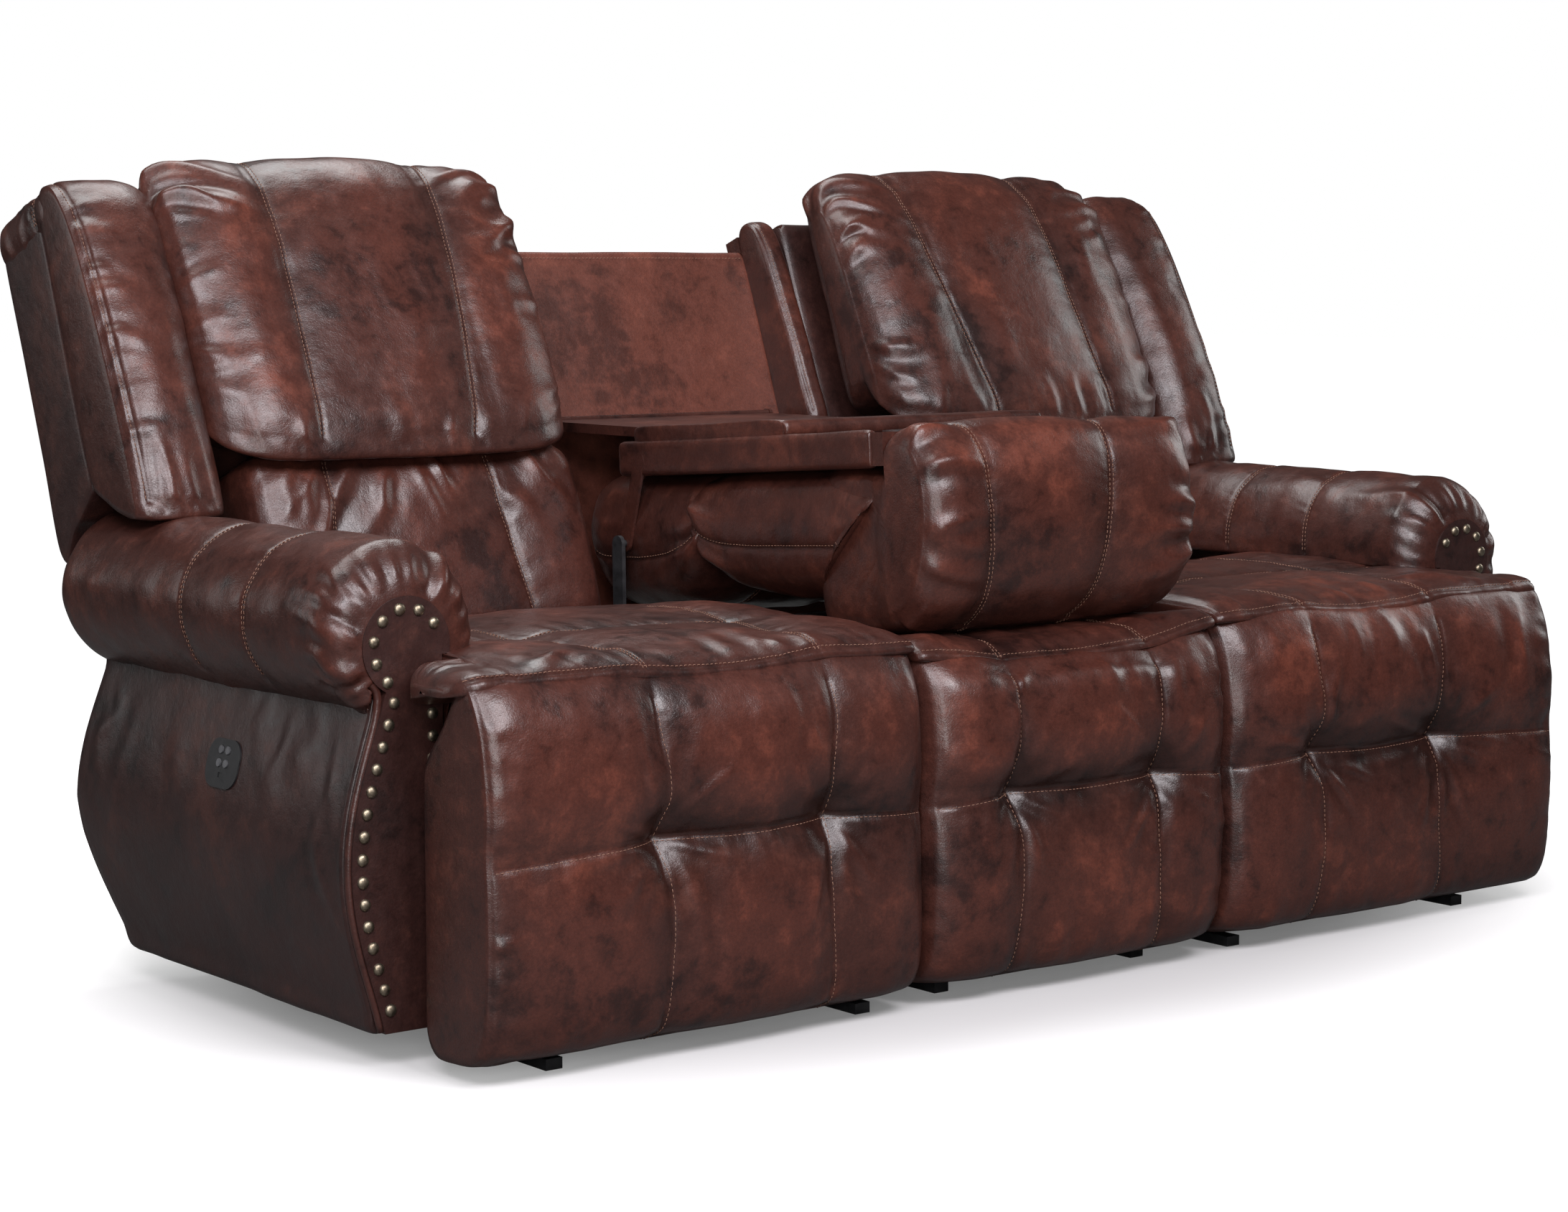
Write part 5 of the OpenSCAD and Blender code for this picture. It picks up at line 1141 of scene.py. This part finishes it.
def arm_shell(hand, side):
    """The plain side of the arm, quiet round the switch plate."""
    zs = np.linspace(SKIRT_Z, NECK_Z, 15)
    edge = [[float(arm_edge(z)) + PIPING, z] for z in zs]
    roof = [[ROLL_X + 40, 446], [ROLL_X, 436], [ARM_INNER + 4, 436]]
    foot = [[ARM_INNER, SKIRT_Z + 4], [ARM_INNER + 6, SKIRT_Z], [ARM_INNER + 50, SKIRT_Z]]
    outline = foot + edge + roof + [[ARM_INNER, 400], [ARM_INNER, 250]]
    shares = np.array([[0, 0.895], [0.12, 0.93], [0.32, 0.985], [0.42, 1], [0.6, 0.99], [0.85, 0.97],
        [1, 0.97]])

    def shape(p, q, share):
        out = p.copy()
        level = (p[..., 2] - SKIRT_Z)/(ROLL_Z - SKIRT_Z)
        reach = np.interp(level, shares[:, 0], shares[:, 1])*ARM_DEPTH
        out[..., 0] = 16 + (p[..., 0] - 16)/(ARM_DEPTH - 16)*(reach - 16)
        past = np.clip((out[..., 0] - (ARM_DEPTH - 115))/115, 0, 1)
        lift = ROLL_R*(1 - np.sqrt(np.clip(1 - (0.98*past)**2, 0, 1)))
        out[..., 2] += lift*np.clip((p[..., 2] - 420)/24, 0, 1)*0.9
        return out

    def seen(loop, normal):
        return normal[:, 0] > 0.2

    f = Form(hand + "_arm_cover", "frame", outline, (940, 240), (16, ARM_DEPTH), along_y, side,
        (hand + "_arm_shell",), seen=seen, fill=0.9, mat="leather_panel", shape=shape, step=5.0,
        rise_ends=12, bulge=0.5, stations=[[0, 0.97, 0.99], [0.006, 1, 1], [0.96, 1, 1],
        [0.99, 0.975, 0.99], [1, 0.93, 0.98]])
    f.loose(1.8, 150, (1.4, 0.8))
    f.loose(0.7, 50)
    rng = np.random.default_rng(29 + (side > 0))
    low = f.at(float(arm_edge(60)), 60)
    high = f.at(float(arm_edge(445)), 445)
    for _ in range(16):
        x = rng.uniform(40, 680)
        r = rng.uniform(60, 200)
        q0 = high + (low - high)*rng.uniform(0, 0.3)
        r *= np.sign(low - high)
        points = [[x, q0], [x + rng.uniform(-30, 30), q0 + r*0.5], [x + rng.uniform(-50, 50), q0 + r]]
        f.fold(points, rng.uniform(10, 22), rng.uniform(0.8, 2.0))
    zc = f.at(float(arm_edge(336)), 336)
    quiet = np.hypot((f.x[:, None] - 319)/62, (f.q[None] - zc)/54)
    f.make(mask=np.clip(quiet - 1, 0, 1))


def panel_welt(hand, side):
    """The welt round the arm's front panel."""
    zs = np.linspace(SKIRT_Z + 2, NECK_Z, 40)
    outer = [[float(arm_edge(z)) + 0.5, 8, z] for z in zs]
    start = math.atan2(NECK_Z - ROSE_Z, arm_edge(NECK_Z) - ROSE_X)
    head = [[ROSE_X + (ROSE_R + 1.5)*math.cos(a), 8,
        ROSE_Z + (ROSE_R + 1.5)*math.sin(a)] for a in np.linspace(start + 0.05, math.pi + 0.15, 50)]
    path = np.array(outer[:-2] + head)
    for _ in range(3):
        path[1:-1] = (path[:-2] + 2*path[1:-1] + path[2:])/4
    path[:, 1] = 8.0
    tube(hand + "_panel_welt", path, 5.2, "frame", side)


def nails():
    """Domed nailheads round the arm's head and down both edges of its front panel."""
    pitch, inset = 27.0, 14.5
    ring = [[ROSE_X + (ROSE_R - inset)*math.cos(a),
        ROSE_Z + (ROSE_R - inset)*math.sin(a)] for a in np.radians(np.arange(146, -52, -3))]
    edge = [[float(arm_edge(z)) - inset, z] for z in np.linspace(NECK_Z - 4, SKIRT_Z + 26, 90)]
    path = np.array(ring + edge)
    along = length_along(path)
    steps = np.arange(0, along[-1], pitch)
    places = np.stack([np.interp(steps, along, column) for column in path.T], 1).tolist()
    places += [[ARM_INNER + inset, z] for z in np.arange(SKIRT_Z + 28, NECK_Z - 20, pitch)]
    profile = [(7.6, 0.0), (7.5, 0.8), (6.9, 2.0), (5.8, 3.1), (4.2, 4.0), (2.2, 4.6), (0.7, 4.75)]
    turns = np.radians(np.arange(20)*18)
    faces_of_one = ring_quads(7, 20).tolist() + [[120 + j, 120 + (j + 1) % 20, 140] for j in range(20)]
    verts, faces = [], []
    rng = np.random.default_rng(3)
    for side in (-1, 1):
        for x, z in places:
            faces += [[len(verts) + n for n in face[::side]] for face in faces_of_one]
            dent = 1 + rng.uniform(-0.04, 0.04)
            for r, h in profile:
                verts += [[side*(x + r*dent*math.cos(t)), -h, z + r*dent*math.sin(t)] for t in turns]
            verts.append([side*x, -4.8, z])
    add_mesh("nail_domes", verts, faces, "frame", "nail_brass", 1, ("nailheads",))


for hand, side in SIDES.items():
    arm_roll(hand, side)
    arm_shell(hand, side)
    panel_welt(hand, side)
nails()
stitch_meshes()


# Studio

def stage():
    """A white floor whose glow is dimmed towards the sofa as a painted shadow round it, and a white world
    that lights it only a little.
    """
    mesh = bpy.data.meshes.new("studio_floor")
    mesh.from_pydata([(-30, -30, 0), (30, -30, 0), (30, 30, 0), (-30, 30, 0)], [], [(0, 1, 2, 3)])
    floor = bpy.data.objects.new("studio_floor", mesh)
    bpy.context.scene.collection.objects.link(floor)
    t, out = new_material("studio_floor")
    matte = node(t, "BsdfDiffuse", {"Color": (0.55, 0.55, 0.55, 1)})
    dull = node(t, "BsdfDiffuse", {"Color": (0.16, 0.16, 0.16, 1)})
    place = node(t, "TexCoord", out="Object")
    # Painted shadow: the floor's glow falls off in an oval round the sofa, darkening the floor there as
    # well as the real shadows do
    oval = node(t, "Mapping", {"Vector": place, "Location": (0.04, 0.16, 0.0), "Scale": (0.84, 1.35, 1.0)})
    reach = node(t, "VectorMath", {0: oval}, "Value", operation="LENGTH")
    glow_with_painted_shadow = node(t, "MapRange", {"Value": reach, "From Min": 0.62, "From Max": 1.42, "To Min": 0.15,
        "To Max": 1.0}, interpolation_type="SMOOTHSTEP")
    glow = node(t, "Emission", {"Color": (1, 1, 1, 1), "Strength": glow_with_painted_shadow})
    both = node(t, "AddShader", {0: matte, 1: glow})
    seen = node(t, "LightPath", out="Is Camera Ray")
    t.links.new(node(t, "MixShader", {0: seen, 1: dull, 2: both}), out.inputs[0])
    mesh.materials.append(MATS["studio_floor"])
    world = bpy.data.worlds.new("studio")
    bpy.context.scene.world = world
    t, out = new_tree(world, "World")
    rays = [node(t, "LightPath", out=kind) for kind in ("Is Camera Ray", "Is Transmission Ray")]
    seen = node(t, "Math", dict(enumerate(rays)), operation="MAXIMUM")
    soft, white = (node(t, "Background", {"Color": (1, 1, 1, 1), "Strength": s}) for s in (0.05, 1.0))
    t.links.new(node(t, "MixShader", {0: seen, 1: soft, 2: white}), out.inputs[0])


def lamp(name, at, target, size, power, colour):
    light = bpy.data.lights.new(name, "AREA")
    light.shape = "RECTANGLE"
    light.size, light.size_y = size
    light.energy = power
    light.color = colour
    obj = bpy.data.objects.new(name, light)
    obj.location = at
    x, y, z = np.array(target, float) - at
    obj.rotation_euler = (math.atan2(math.hypot(x, y), -z), 0, math.atan2(y, x) - math.pi/2)
    bpy.context.scene.collection.objects.link(obj)


WHITE = (1.0, 1.0, 1.0)
# Each lamp's name, place, target, size, power and colour
LAMPS = [("key", (-3.2, -3.0, 3.2), (-0.3, 0, 0.6), (2.2, 1.6), 160, (1.0, 0.95, 1.0)),
    ("bank", (-0.65, -3.3, 3.1), (-0.2, 0.1, 0.8), (1.5, 1.5), 120, (1.0, 0.96, 1.0)),
    ("top", (-0.4, 1.0, 3.3), (0, 0.1, 0.6), (3.6, 1.0), 70, WHITE),
    ("left_rear", (-3.6, 2.6, 1.6), (-0.6, 0.2, 0.5), (1.6, 1.6), 14, WHITE),
    ("low_left", (-2.6, -3.0, 0.9), (0.1, -0.1, 0.5), (1.2, 0.7), 30, WHITE),
    ("rim_right", (4.2, -0.6, 2.0), (0.3, 0, 0.5), (1.0, 2.0), 30, WHITE)]

stage()
for row in LAMPS:
    lamp(*row)

camera = bpy.data.cameras.new("photo_camera")
camera.sensor_width = 36
camera.lens = 75.2
view = bpy.data.objects.new("photo_camera", camera)
view.location = (-2.97042, -3.66545, 0.95385)
view.rotation_euler = (math.radians(84.06), 0, -math.radians(38.26))
bpy.context.scene.collection.objects.link(view)
bpy.context.scene.camera = view
bpy.context.scene.view_settings.view_transform = "Standard"
